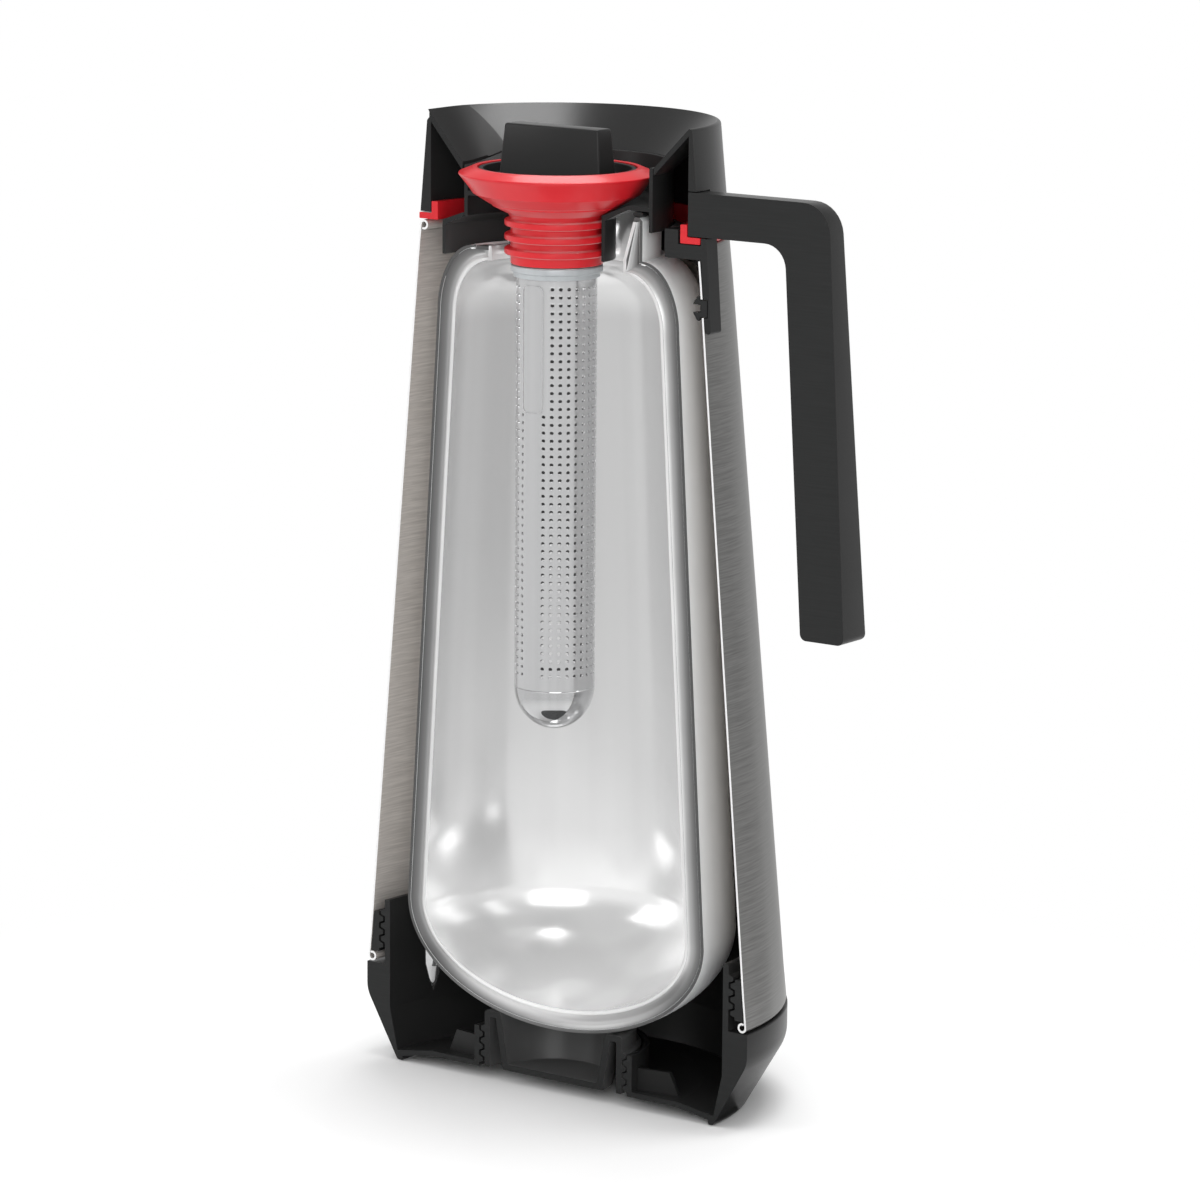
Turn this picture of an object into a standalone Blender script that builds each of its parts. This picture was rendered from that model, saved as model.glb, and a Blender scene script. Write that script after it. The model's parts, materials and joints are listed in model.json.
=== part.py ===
"""A vacuum carafe with a stopper and a tea infuser, cut open along its axis to show how it is built.

Metres, +Z up. The origin is on the carafe's axis at foot level, the handle points along +X and the
pouring lip along -X. The shells and the handle keep their rear half, y > 0. The stopper and the
infuser are whole.
"""

import math

import bmesh
import bpy
from mathutils import Matrix

# Fits and facets
SEGMENTS = 36
FIT_GAP = 0.0003
THREAD_CLEARANCE = 0.0007

# Steel casing
CASING_FOOT_RADIUS = 0.0676
CASING_TOP_RADIUS = 0.0486
CASING_HEIGHT = 0.22215
CASING_SHEET = 0.0006
HEM_RADIUS = 0.00145

# Screw thread between the casing and the base
CASING_THREAD_WALL = 0.0018
CASING_THREAD_DEPTH = 0.0015
CASING_THREAD_PITCH = 0.0040
CASING_THREAD_TURNS = 3
THREAD_TOOTH = 0.0011

# Base
BASE_HEIGHT = 0.02845
BASE_LIP = 0.0004
BASE_RIM_DEPTH = 0.0088
BASE_WALL = 0.0019
BASE_WALL_RISE = 0.0041
FOOT_RADIUS = 0.0567
FOOT_WIDTH = 0.0018
FOOT_DEPTH = 0.0013
FOOT_ROUND = 0.0012
FLOOR_RADIUS = 0.0440
FLOOR_CLEARANCE = 0.0032
FLOOR_THICKNESS = 0.0015
GUSSET_REACH = 0.0135
GUSSET_HEIGHT = 0.0065
GUSSET_THICKNESS = 0.0014
GUSSET_ANGLES = (8, 49, 90, 131, 172)

# Cup that screws into the base and carries the flask
CUP_RADIUS = 0.0245
CUP_WALL = 0.0018
CUP_FOOT_RADIUS = 0.0178
CUP_RIM_WIDTH = 0.0058
CUP_THREAD_DEPTH = 0.0013
CUP_THREAD_PITCH = 0.0038
CUP_THREAD_TURNS = 3
SLEEVE_WALL = 0.0017
SLEEVE_HEIGHT = 0.0108

# Double-walled glass flask
FLASK_BOTTOM = 0.0187
FLASK_RADIUS = 0.0528
FLASK_SHOULDER_WIDTH = 0.0128
FLASK_NECK_GAP = 0.0021
FLASK_DOME = 0.0320
FLASK_SHOULDER_RISE = 0.0200
FLASK_NECK_HEIGHT = 0.0122
GLASS_WALL = 0.0010
VACUUM_GAP = 0.0045
FLASK_LIP_WIDTH = 0.0032
EXHAUST_TIP_RADIUS = 0.0027
EXHAUST_TIP_END = 0.0002
EXHAUST_TIP_LENGTH = 0.0150
EXHAUST_TIP_PLACE = (-0.0465, 0.0042)
MOUTH_CUT_OFFSET = 0.0120
MOUTH_CUT_DEPTH = 0.0142
LINING_CUT_INSET = 0.0009

# Gasket, collar and pouring lip
GASKET_FLANGE = 0.0018
GASKET_LIP = 0.0004
GASKET_LEG = 0.0022
GASKET_LEG_HEIGHT = 0.0052
COLLAR_HEIGHT = 0.0297
COLLAR_WALL = 0.00116
COLLAR_RIM_ROUND = 0.0011
FUNNEL_WIDTH = 0.01285
FUNNEL_DEPTH = 0.0117
FUNNEL_WALL = 0.0014
TROUGH_OFFSET = 0.0140
TROUGH_LIP_DROP = 0.00035
TROUGH_DEPTH = 0.0032
TROUGH_WALL = 0.0025
DRIP_GROOVE_TOP = 0.0006
DRIP_GROOVE_HEIGHT = 0.0030
DRIP_GROOVE_DEPTH = 0.0016
DRIP_GROOVE_HALF_WIDTH = 0.0135

# Neck fittings
LIP_RISE = 0.0039
MOUTH_SEAL_HEIGHT = 0.0012
INSERT_WALL = 0.0012
INSERT_SKIRT = 0.0040
INSERT_THROAT_INSET = 0.0019
INSERT_CONE_DROP = 0.0035
SLEEVE_LENGTH = 0.0117
NECK_RING_WALL = 0.0012
NECK_RING_INSET = 0.0017
NECK_RING_LIFT = 0.0039
NECK_RING_RISE = 0.0005
NECK_RING_GRIP = 0.0009
NECK_RING_OPENING = 0.0059

# Stopper
RIB_RADIUS = 0.01485
RIB_ROOT = 0.0131
RIB_PITCH = 0.0040
RIB_COUNT = 3
RIB_CLEARANCE = 0.00055
BELL_TOP = 0.0123
BELL_CLEARANCE = 0.0035
BELL_RIM_WIDTH = 0.0042
SEAL_TAIL = 0.0149
SEAL_WALL = 0.0033
DISH_DEPTH = 0.0021
DISH_WALL = 0.0013
STEM_LENGTH = 0.0063
GRIP_END_GAP = 0.0034
GRIP_END_TAPER = 0.0013
GRIP_THICKNESS_TOP = 0.0066
GRIP_THICKNESS_FOOT = 0.0084
GRIP_HEIGHT = 0.0146
GRIP_ROUND = 0.0007

# Infuser
INFUSER_RADIUS = 0.0115
INFUSER_SHEET = 0.0005
INFUSER_TUBE = 0.1194
INFUSER_COLLAR_LIP = 0.0016
INFUSER_COLLAR_HEIGHT = 0.0034
INFUSER_COLLAR_RING = 0.0013
INFUSER_DOME = 0.0124

# Handle
HANDLE_REACH_TOP = 0.0912
HANDLE_REACH_FOOT = 0.0981
HANDLE_BAR = 0.0143
HANDLE_LENGTH = 0.1214
ARM_HEIGHT = 0.0122
HANDLE_HALF_WIDTH_TOP = 0.0070
HANDLE_HALF_WIDTH_FOOT = 0.0119
HANDLE_OUTER_ROUND = 0.0090
HANDLE_INNER_ROUND = 0.0070
HANDLE_END_ROUND = 0.0020
HANDLE_EDGE_ROUND = 0.0009
BRACKET_HALF_WIDTH = 0.0052
BRACKET_THICKNESS = 0.0018
BRACKET_DROP = 0.0244
BRACKET_LUG = 0.0040
HOOK_WIDTH = 0.0045
HOOK_RISE = 0.0040
PIN_DROP = 0.0174
PIN_RADIUS = 0.0023
PIN_TIP_RADIUS = 0.0014
PIN_HEAD_RADIUS = 0.0035
PIN_HEAD_LENGTH = 0.0021
PIN_SLOT = 0.0022
PIN_SEAT = 0.0010

# Heights and radii that follow from the sizes above
casing_low = BASE_HEIGHT + FIT_GAP
casing_top = casing_low + CASING_HEIGHT
gasket_low = casing_top + FIT_GAP
collar_low = gasket_low + GASKET_FLANGE + FIT_GAP
rim = collar_low + COLLAR_HEIGHT
lip = collar_low + LIP_RISE
web_low = lip + MOUTH_SEAL_HEIGHT + 2 * FIT_GAP
shoulder_low = lip - FLASK_NECK_HEIGHT - FLASK_SHOULDER_RISE
funnel_low = rim - FUNNEL_DEPTH
sleeve_bore = RIB_RADIUS + RIB_CLEARANCE
seal_low = lip - SEAL_TAIL
bell_top = lip + BELL_TOP
dish_floor = bell_top - DISH_DEPTH - DISH_WALL
stem_radius = RIB_ROOT - SEAL_WALL - FIT_GAP
arm_low = collar_low
arm_top = arm_low + ARM_HEIGHT
far = 2 * (CASING_FOOT_RADIUS + HANDLE_REACH_FOOT)

COLOURS = {
    "steel": ((0.55, 0.54, 0.53, 1), 0.32, 1.0),
    "polished_steel": ((0.72, 0.72, 0.72, 1), 0.16, 1.0),
    "silvered_glass": ((0.86, 0.87, 0.87, 1), 0.08, 1.0),
    "black_plastic": ((0.028, 0.028, 0.029, 1), 0.42, 0.0),
    "red_silicone": ((0.78, 0.035, 0.045, 1), 0.38, 0.0),
}


def casing_radius(z):
    """Outer radius of the tapered casing, and of the collar above it, at this height."""
    share = (z - casing_low) / CASING_HEIGHT
    return CASING_FOOT_RADIUS + (CASING_TOP_RADIUS - CASING_FOOT_RADIUS) * share


def dome_height(r):
    """Height of the flask's round bottom at this radius."""
    return FLASK_BOTTOM + FLASK_DOME * (1 - math.sqrt(1 - (r / FLASK_RADIUS) ** 2))


def shoulder_height(r):
    """Height at which the flask's shoulder reaches this radius, or its foot where it stays narrower."""
    share = (r - neck_radius) / FLASK_SHOULDER_WIDTH
    return shoulder_low + FLASK_SHOULDER_RISE * math.sqrt(max(0, 1 - share**2))


# Radii of the threads, the collar and the neck, worked inwards from the casing
thread_low = casing_low + 2 * HEM_RADIUS + FIT_GAP
thread_high = thread_low + CASING_THREAD_TURNS * CASING_THREAD_PITCH
ring_root = casing_radius(thread_high) - CASING_SHEET - FIT_GAP - CASING_THREAD_WALL
base_tip = ring_root - THREAD_CLEARANCE
base_root = ring_root - CASING_THREAD_DEPTH - THREAD_CLEARANCE
base_bore = base_root - BASE_WALL
cup_tip = CUP_RADIUS + CUP_THREAD_DEPTH
sleeve_root = cup_tip + THREAD_CLEARANCE
collar_bore = casing_radius(rim) - COLLAR_WALL
gasket_bore = collar_bore - FIT_GAP - GASKET_LEG
neck_ring_radius = gasket_bore - NECK_RING_INSET
funnel_mouth = casing_radius(rim) - FUNNEL_WIDTH
insert_radius = funnel_mouth - FIT_GAP
insert_bore = insert_radius - INSERT_WALL
neck_radius = insert_bore - FLASK_NECK_GAP
lip_bore = neck_radius - FLASK_LIP_WIDTH
bell_rim = insert_bore - BELL_CLEARANCE
bell_mouth = bell_rim - BELL_RIM_WIDTH


def clear_scene():
    for obj in list(bpy.data.objects):
        bpy.data.objects.remove(obj, do_unlink=True)


def make_collection(name):
    collection = bpy.data.collections.new(name)
    bpy.context.scene.collection.children.link(collection)
    return collection


def make_material(name):
    colour, roughness, metallic = COLOURS[name]
    material = bpy.data.materials.new(name)
    material.use_nodes = True
    shader = material.node_tree.nodes["Principled BSDF"]
    shader.inputs["Base Color"].default_value = colour
    shader.inputs["Roughness"].default_value = roughness
    shader.inputs["Metallic"].default_value = metallic
    material.diffuse_color = colour
    return material


clear_scene()
parts = make_collection("thermal_carafe")
cutters = make_collection("cutters")
materials = {name: make_material(name) for name in COLOURS}


def add_part(name, mesh, material):
    obj = bpy.data.objects.new(name, mesh)
    mesh.materials.append(materials[material])
    parts.objects.link(obj)
    return obj


def add_cutter(name, mesh):
    obj = bpy.data.objects.new(name, mesh)
    obj.hide_render = True
    obj.display_type = "WIRE"
    cutters.objects.link(obj)
    return obj


def combine(obj, operation, other):
    modifier = obj.modifiers.new(f"{operation.lower()} {other.name}", "BOOLEAN")
    modifier.operation = operation
    modifier.solver = "EXACT"
    modifier.object = other


def ellipse(center, semi_r, semi_z, start, end, count):
    """Points of an elliptical arc in the r, z plane, from one angle to another in degrees."""
    points = []
    for i in range(count + 1):
        angle = math.radians(start + (end - start) * i / count)
        points.append((center[0] + semi_r * math.cos(angle), center[1] + semi_z * math.sin(angle)))
    return points


def arc(center, radius, start, end, count):
    return ellipse(center, radius, radius, start, end, count)


def fillet(before, corner, after, radius, count=4):
    """The corner of an outline, rounded to this radius."""
    def unit(target):
        run, rise = target[0] - corner[0], target[1] - corner[1]
        length = math.hypot(run, rise)
        return run / length, rise / length

    first, second = unit(before), unit(after)
    half = math.acos(first[0] * second[0] + first[1] * second[1]) / 2
    along = radius / math.tan(half)
    middle = (first[0] + second[0], first[1] + second[1])
    reach = radius / math.sin(half) / math.hypot(*middle)
    center = (corner[0] + middle[0] * reach, corner[1] + middle[1] * reach)
    start = (corner[0] + first[0] * along, corner[1] + first[1] * along)
    end = (corner[0] + second[0] * along, corner[1] + second[1] * along)
    begin = math.degrees(math.atan2(start[1] - center[1], start[0] - center[0]))
    turn = math.degrees(math.atan2(end[1] - center[1], end[0] - center[0])) - begin
    turn = (turn + 180) % 360 - 180
    return arc(center, radius, begin, begin + turn, count)


def strip(path, thickness):
    """Closed outline of a sheet whose middle line is the path."""
    outer, inner = [], []
    for i, (r, z) in enumerate(path):
        before = path[max(i - 1, 0)]
        after = path[min(i + 1, len(path) - 1)]
        run, rise = after[0] - before[0], after[1] - before[1]
        half = thickness / 2 / math.hypot(run, rise)
        outer.append((r - rise * half, z + run * half))
        inner.append((r + rise * half, z - run * half))
    return outer + inner[::-1]


def teeth(root, tip, low, pitch, turns):
    """A row of thread teeth from top to bottom, between a root and a tip radius."""
    points = []
    for i in reversed(range(turns)):
        middle = low + (i + 0.5) * pitch
        points += [(root, middle + THREAD_TOOTH), (tip, middle + THREAD_TOOTH / 2)]
        points += [(tip, middle - THREAD_TOOTH / 2), (root, middle - THREAD_TOOTH)]
    return points


def profile_mesh(name, profile):
    """Edges through the points, closed into a loop unless both ends lie on the axis."""
    count = len(profile)
    edges = [(i, i + 1) for i in range(count - 1)]
    if profile[0][0] or profile[-1][0]:
        edges.append((count - 1, 0))
    mesh = bpy.data.meshes.new(name)
    mesh.from_pydata([(r, 0, z) for r, z in profile], edges, [])
    return mesh


def turn(obj):
    screw = obj.modifiers.new("turn", "SCREW")
    screw.steps = SEGMENTS
    screw.render_steps = SEGMENTS
    screw.use_merge_vertices = True
    screw.merge_threshold = 0.000001


def turned_part(name, profile, material):
    obj = add_part(name, profile_mesh(name, profile), material)
    turn(obj)
    return obj


def turned_cutter(name, profile):
    obj = add_cutter(name, profile_mesh(name, profile))
    turn(obj)
    return obj


def box_mesh(name, low, high):
    size = [b - a for a, b in zip(low, high)]
    middle = [(a + b) / 2 for a, b in zip(low, high)]
    shape = bmesh.new()
    bmesh.ops.create_cube(shape, size=1, matrix=Matrix.Translation(middle) @ Matrix.Diagonal((*size, 1)))
    mesh = bpy.data.meshes.new(name)
    shape.to_mesh(mesh)
    shape.free()
    return mesh


def cone_mesh(name, low_radius, high_radius, length, matrix, segments):
    """A round bar or cone along its own Z, centred on the matrix's origin."""
    shape = bmesh.new()
    bmesh.ops.create_cone(
        shape,
        cap_ends=True,
        segments=segments,
        radius1=low_radius,
        radius2=high_radius,
        depth=length,
        matrix=matrix,
    )
    mesh = bpy.data.meshes.new(name)
    shape.to_mesh(mesh)
    shape.free()
    return mesh


def plate_mesh(name, outline, half_width):
    """A flat outline in the x, z plane, as thick as twice the half width and centred on y = 0."""
    curve = bpy.data.curves.new(name, "CURVE")
    curve.dimensions = "2D"
    curve.fill_mode = "BOTH"
    curve.extrude = half_width
    spline = curve.splines.new("POLY")
    spline.points.add(len(outline) - 1)
    for point, (x, z) in zip(spline.points, outline):
        point.co = (x, z, 0, 1)
    spline.use_cyclic_u = True
    drawing = bpy.data.objects.new(name, curve)
    cutters.objects.link(drawing)
    bpy.context.view_layer.update()
    mesh = bpy.data.meshes.new_from_object(drawing.evaluated_get(bpy.context.evaluated_depsgraph_get()))
    bpy.data.objects.remove(drawing, do_unlink=True)
    shape = bmesh.new()
    shape.from_mesh(mesh)
    bmesh.ops.remove_doubles(shape, verts=shape.verts, dist=0.000001)
    bmesh.ops.recalc_face_normals(shape, faces=shape.faces)
    shape.to_mesh(mesh)
    shape.free()
    mesh.name = name
    mesh.transform(Matrix.Rotation(math.pi / 2, 4, "X"))
    return mesh


def round_edges(obj, width):
    bevel = obj.modifiers.new("round edges", "BEVEL")
    bevel.width = width
    bevel.segments = 2
    bevel.limit_method = "ANGLE"
    bevel.angle_limit = math.radians(50)


section = add_cutter("section_cutter", box_mesh("section_cutter", (-far, -far, -far), (far, 0, 2 * far)))


def cut_open(obj):
    """Takes the front half away at the section plane, y = 0."""
    combine(obj, "DIFFERENCE", section)


def make_casing():
    roll = HEM_RADIUS - CASING_SHEET / 2
    top = (CASING_TOP_RADIUS - HEM_RADIUS, casing_top - HEM_RADIUS)
    low = (CASING_FOOT_RADIUS - HEM_RADIUS, casing_low + HEM_RADIUS)
    path = arc(top, roll, 270, 0, 9) + arc(low, roll, 0, -270, 9)
    casing = turned_part("outer_casing", strip(path, CASING_SHEET), "steel")

    inside = thread_low - FIT_GAP / 2
    face = [(casing_radius(z) - CASING_SHEET - FIT_GAP, z) for z in (thread_high, inside + FIT_GAP)]
    ring_tip = ring_root - CASING_THREAD_DEPTH
    thread = teeth(ring_root, ring_tip, thread_low, CASING_THREAD_PITCH, CASING_THREAD_TURNS)
    ring = turned_part(
        "casing_thread_ring",
        face + [(ring_root, inside + FIT_GAP)] + thread[::-1] + [(ring_root, thread_high)],
        "black_plastic",
    )
    cut_open(ring)
    return casing


def make_base():
    outer = CASING_FOOT_RADIUS + BASE_LIP
    rim_low = BASE_HEIGHT - BASE_RIM_DEPTH
    foot_inner = FOOT_RADIUS - FOOT_WIDTH
    floor_top = FLOOR_CLEARANCE + FLOOR_THICKNESS
    wall_top = thread_high + BASE_WALL_RISE
    side = fillet((outer, BASE_HEIGHT), (outer, rim_low), (FOOT_RADIUS, 0), BASE_RIM_DEPTH, 3)
    # The base's teeth lie half a pitch below the casing's, in the gaps between them.
    first_gap = thread_low + CASING_THREAD_PITCH / 2
    thread = teeth(base_root, base_tip, first_gap, CASING_THREAD_PITCH, CASING_THREAD_TURNS)
    sleeve_top = FLOOR_CLEARANCE + FLOOR_THICKNESS + SLEEVE_HEIGHT
    cup_low = FLOOR_CLEARANCE + FIT_GAP
    inner_thread = teeth(
        sleeve_root, sleeve_root - CUP_THREAD_DEPTH, cup_low, CUP_THREAD_PITCH, CUP_THREAD_TURNS
    )
    profile = [(base_root, wall_top)] + thread
    profile += [(base_root, BASE_HEIGHT), (outer, BASE_HEIGHT)] + side
    profile += fillet((outer, rim_low), (FOOT_RADIUS, 0), (foot_inner, 0), FOOT_ROUND, 2)
    profile += [(foot_inner, 0), (foot_inner, FOOT_DEPTH)]
    profile += [(FLOOR_RADIUS, FLOOR_CLEARANCE), (sleeve_root, FLOOR_CLEARANCE)]
    profile += inner_thread[::-1]
    profile += [(sleeve_root, sleeve_top), (sleeve_root + SLEEVE_WALL, sleeve_top)]
    profile += [(sleeve_root + SLEEVE_WALL, floor_top), (FLOOR_RADIUS, floor_top)]
    profile += [(foot_inner + FOOT_WIDTH, FOOT_DEPTH + FLOOR_THICKNESS)]
    profile += [(base_bore, rim_low - BASE_RIM_DEPTH / 2), (base_bore, wall_top)]
    base = turned_part("base_shell", profile, "black_plastic")

    start = sleeve_root + SLEEVE_WALL / 2
    end = sleeve_root + SLEEVE_WALL + GUSSET_REACH
    sunk = FLOOR_CLEARANCE + FLOOR_THICKNESS / 2
    top = floor_top + GUSSET_HEIGHT
    slope = GUSSET_HEIGHT / 2
    outline = [(start, sunk), (end, sunk), (end - slope, top), (start, top)]
    for number, angle in enumerate(GUSSET_ANGLES):
        mesh = plate_mesh(f"gusset_{number}", outline, GUSSET_THICKNESS / 2)
        mesh.transform(Matrix.Rotation(math.radians(angle), 4, "Z"))
        combine(base, "UNION", add_cutter(f"gusset_{number}", mesh))
    cut_open(base)


def make_support_cup():
    low = FLOOR_CLEARANCE + FIT_GAP
    top = dome_height(CUP_RADIUS - CUP_RIM_WIDTH) - FIT_GAP
    inner = CUP_RADIUS - CUP_RIM_WIDTH
    floor_top = low + CUP_WALL
    thread = teeth(
        CUP_RADIUS, cup_tip, low + CUP_THREAD_PITCH / 2, CUP_THREAD_PITCH, CUP_THREAD_TURNS
    )
    bore = CUP_RADIUS - CUP_WALL
    chamfer = CUP_WALL / 2
    profile = [(0, floor_top), (CUP_FOOT_RADIUS - CUP_WALL, floor_top), (inner, top - chamfer)]
    profile += [(inner + chamfer, top), (CUP_RADIUS - chamfer, top), (CUP_RADIUS, top - chamfer)]
    profile += thread + [(CUP_RADIUS, low), (bore, low), (bore, top - CUP_WALL)]
    profile += [(inner + CUP_WALL, top - CUP_WALL), (CUP_FOOT_RADIUS, low), (0, low)]
    cup = turned_part("flask_support_cup", profile, "black_plastic")
    cut_open(cup)


def bulb_side(inset, neck_top):
    """One glass surface from the neck's top down to the axis, this far inside the flask's outside."""
    middle = FLASK_BOTTOM + FLASK_DOME
    neck = neck_radius - inset
    rise = FLASK_SHOULDER_RISE - inset * 0.6
    side = [(neck, neck_top)]
    side += ellipse((neck, shoulder_low), FLASK_SHOULDER_WIDTH, rise, 90, 0, 7)
    side += ellipse((0, middle), FLASK_RADIUS - inset, FLASK_DOME - inset, 0, -90, 10)
    side[-1] = (0, side[-1][1])
    return side


def make_flask():
    inner_outside = GLASS_WALL + VACUUM_GAP
    flare = lip - GLASS_WALL - FIT_GAP
    skin = bulb_side(0, lip - GLASS_WALL)
    lining = bulb_side(GLASS_WALL, lip - GLASS_WALL)
    lip_edge = [(lip_bore, lip - GLASS_WALL), (lip_bore, lip), (neck_radius - GLASS_WALL, lip)]
    outer = turned_part("flask_outer_bulb", lining[::-1] + lip_edge + skin, "silvered_glass")

    neck_bend = lip - FLASK_NECK_HEIGHT
    outside = bulb_side(inner_outside, neck_bend)
    inside = bulb_side(inner_outside + GLASS_WALL, neck_bend)
    flare_edge = [(lip_bore, flare), (lip_bore + GLASS_WALL, flare)]
    inner = turned_part("flask_inner_bulb", inside[::-1] + flare_edge + outside, "silvered_glass")

    tip_top = dome_height(math.hypot(*EXHAUST_TIP_PLACE)) + GLASS_WALL
    place = Matrix.Translation((*EXHAUST_TIP_PLACE, tip_top - EXHAUST_TIP_LENGTH / 2))
    tip = cone_mesh("exhaust_tip", EXHAUST_TIP_END, EXHAUST_TIP_RADIUS, EXHAUST_TIP_LENGTH, place, 12)
    combine(outer, "UNION", add_cutter("exhaust_tip", tip))

    # The mouth is cut back on the pouring side, so the pieces behind it show.
    def mouth_window(name, offset):
        return add_cutter(name, box_mesh(name, (-far, -far, lip - MOUTH_CUT_DEPTH), (-offset, far, rim)))

    window = mouth_window("mouth_window", MOUTH_CUT_OFFSET)
    neck_bore = neck_radius - inner_outside - GLASS_WALL
    lining_window = mouth_window("lining_window", neck_bore - LINING_CUT_INSET)
    cut_open(outer)
    combine(outer, "DIFFERENCE", window)
    cut_open(inner)
    combine(inner, "DIFFERENCE", lining_window)

    seal = turned_part(
        "mouth_seal",
        [
            (neck_radius, lip + FIT_GAP + MOUTH_SEAL_HEIGHT),
            (neck_radius, lip + FIT_GAP),
            (lip_bore, lip + FIT_GAP),
            (lip_bore, lip + FIT_GAP + MOUTH_SEAL_HEIGHT),
        ],
        "black_plastic",
    )
    cut_open(seal)
    combine(seal, "DIFFERENCE", window)


def make_gasket():
    foot_top = gasket_low + GASKET_FLANGE
    edge = casing_radius(collar_low) + GASKET_LIP
    leg_outer = collar_bore - FIT_GAP
    leg_top = gasket_low + GASKET_LEG_HEIGHT
    profile = [(leg_outer, leg_top), (leg_outer, foot_top), (edge, foot_top), (edge, gasket_low)]
    profile += [(gasket_bore, gasket_low), (gasket_bore, leg_top)]
    cut_open(turned_part("collar_gasket", profile, "red_silicone"))


def funnel_height(r, depth=0.0):
    """Height of the funnel's face, or of a face this far under it, at a radius."""
    high = casing_radius(rim) - COLLAR_RIM_ROUND
    slope = FUNNEL_DEPTH / (high - funnel_mouth)
    return rim - (high - r) * slope - depth * math.hypot(1, slope)


def trough_cutter(name, drop):
    """The cone that shapes the pouring trough, set off towards the lip and lowered by the drop."""
    lip_end = (casing_radius(rim) - DRIP_GROOVE_DEPTH / 3 - TROUGH_OFFSET, rim - TROUGH_LIP_DROP - drop)
    mouth_end = (funnel_mouth - TROUGH_OFFSET, funnel_low - TROUGH_DEPTH - drop)
    flare = (lip_end[0] - mouth_end[0]) / (lip_end[1] - mouth_end[1])
    apex = mouth_end[1] - mouth_end[0] / flare
    top = rim + COLLAR_HEIGHT
    place = Matrix.Translation((-TROUGH_OFFSET, 0, (apex + top) / 2))
    return add_cutter(name, cone_mesh(name, 0, (top - apex) * flare, top - apex, place, 2 * SEGMENTS))


def make_collar(trough):
    low_radius = casing_radius(collar_low)
    high_radius = casing_radius(rim)
    round_center = (high_radius - COLLAR_RIM_ROUND, rim - COLLAR_RIM_ROUND)
    mouth = (funnel_mouth, funnel_low)
    under_mouth = (funnel_mouth, funnel_height(funnel_mouth, FUNNEL_WALL))
    under_wall = (collar_bore, funnel_height(collar_bore, FUNNEL_WALL))
    rim_edge = arc(round_center, COLLAR_RIM_ROUND, 90, 0, 3)
    wall = [(low_radius, collar_low), (collar_bore, collar_low), under_wall]
    collar = turned_part("collar_shell", rim_edge + wall + [under_mouth, mouth], "black_plastic")

    # The trough is let into the funnel, so its own wall is added under the funnel first.
    block_outer = collar_bore + COLLAR_WALL / 2
    block_inner = funnel_mouth + FUNNEL_WALL / 4
    block_low = under_mouth[1] - TROUGH_DEPTH - TROUGH_WALL
    block = turned_cutter(
        "trough_wall",
        [
            (block_outer, funnel_height(block_outer, FUNNEL_WALL / 2)),
            (block_outer, block_low),
            (block_inner, block_low),
            (block_inner, funnel_height(block_inner, FUNNEL_WALL / 2)),
        ],
    )
    combine(block, "INTERSECT", trough_cutter("trough_outside", TROUGH_WALL))
    combine(collar, "UNION", block)
    combine(collar, "DIFFERENCE", trough)

    groove_top = rim - DRIP_GROOVE_TOP
    groove_low = groove_top - DRIP_GROOVE_HEIGHT
    groove = turned_cutter(
        "drip_groove",
        [
            (low_radius, groove_top),
            (low_radius, groove_low),
            (casing_radius(groove_low), groove_low),
            (high_radius - DRIP_GROOVE_DEPTH, groove_top - DRIP_GROOVE_HEIGHT / 2),
            (high_radius - DRIP_GROOVE_DEPTH / 3, groove_top),
        ],
    )
    half = DRIP_GROOVE_HALF_WIDTH
    reach = box_mesh("drip_groove_reach", (-far, -half, groove_low - half), (0, half, rim + half))
    combine(groove, "INTERSECT", add_cutter("drip_groove_reach", reach))
    combine(collar, "DIFFERENCE", groove)

    side = handle_half_width(arm_low) + FIT_GAP
    pocket = box_mesh("arm_pocket", (0, -side, collar_low - side), (far, side, arm_top + FIT_GAP))
    combine(collar, "DIFFERENCE", add_cutter("arm_pocket", pocket))
    cut_open(collar)


def make_pour_insert(trough):
    throat = lip_bore - INSERT_THROAT_INSET
    web_top = web_low + INSERT_WALL
    sleeve_outer = sleeve_bore + INSERT_WALL
    cone_low = web_low - INSERT_CONE_DROP
    skirt_low = lip - INSERT_SKIRT
    profile = [(insert_radius, funnel_low), (insert_radius, skirt_low), (insert_bore, skirt_low)]
    profile += [(insert_bore, web_low), (throat, web_low), (sleeve_outer, cone_low)]
    profile += [(sleeve_outer, cone_low - SLEEVE_LENGTH), (sleeve_bore, cone_low - SLEEVE_LENGTH)]
    profile += [(sleeve_bore, cone_low + INSERT_WALL), (throat, web_top), (insert_bore, web_top)]
    profile += [(insert_bore, funnel_low)]
    insert = turned_part("pour_insert", profile, "black_plastic")
    combine(insert, "DIFFERENCE", trough)
    cut_open(insert)


def make_neck_ring():
    """A ring whose sloping flange grips the foot of the pouring insert."""
    top = casing_top + NECK_RING_RISE
    bore = neck_ring_radius - NECK_RING_WALL
    low = shoulder_height(bore) + NECK_RING_LIFT
    throat = insert_radius + FIT_GAP
    grip_top = lip - INSERT_SKIRT + NECK_RING_GRIP
    profile = [(throat, grip_top), (neck_ring_radius, top), (neck_ring_radius, low), (bore, low)]
    profile += [(bore, top - NECK_RING_WALL), (throat, grip_top - NECK_RING_WALL)]
    return turned_part("neck_ring", profile, "black_plastic")


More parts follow.
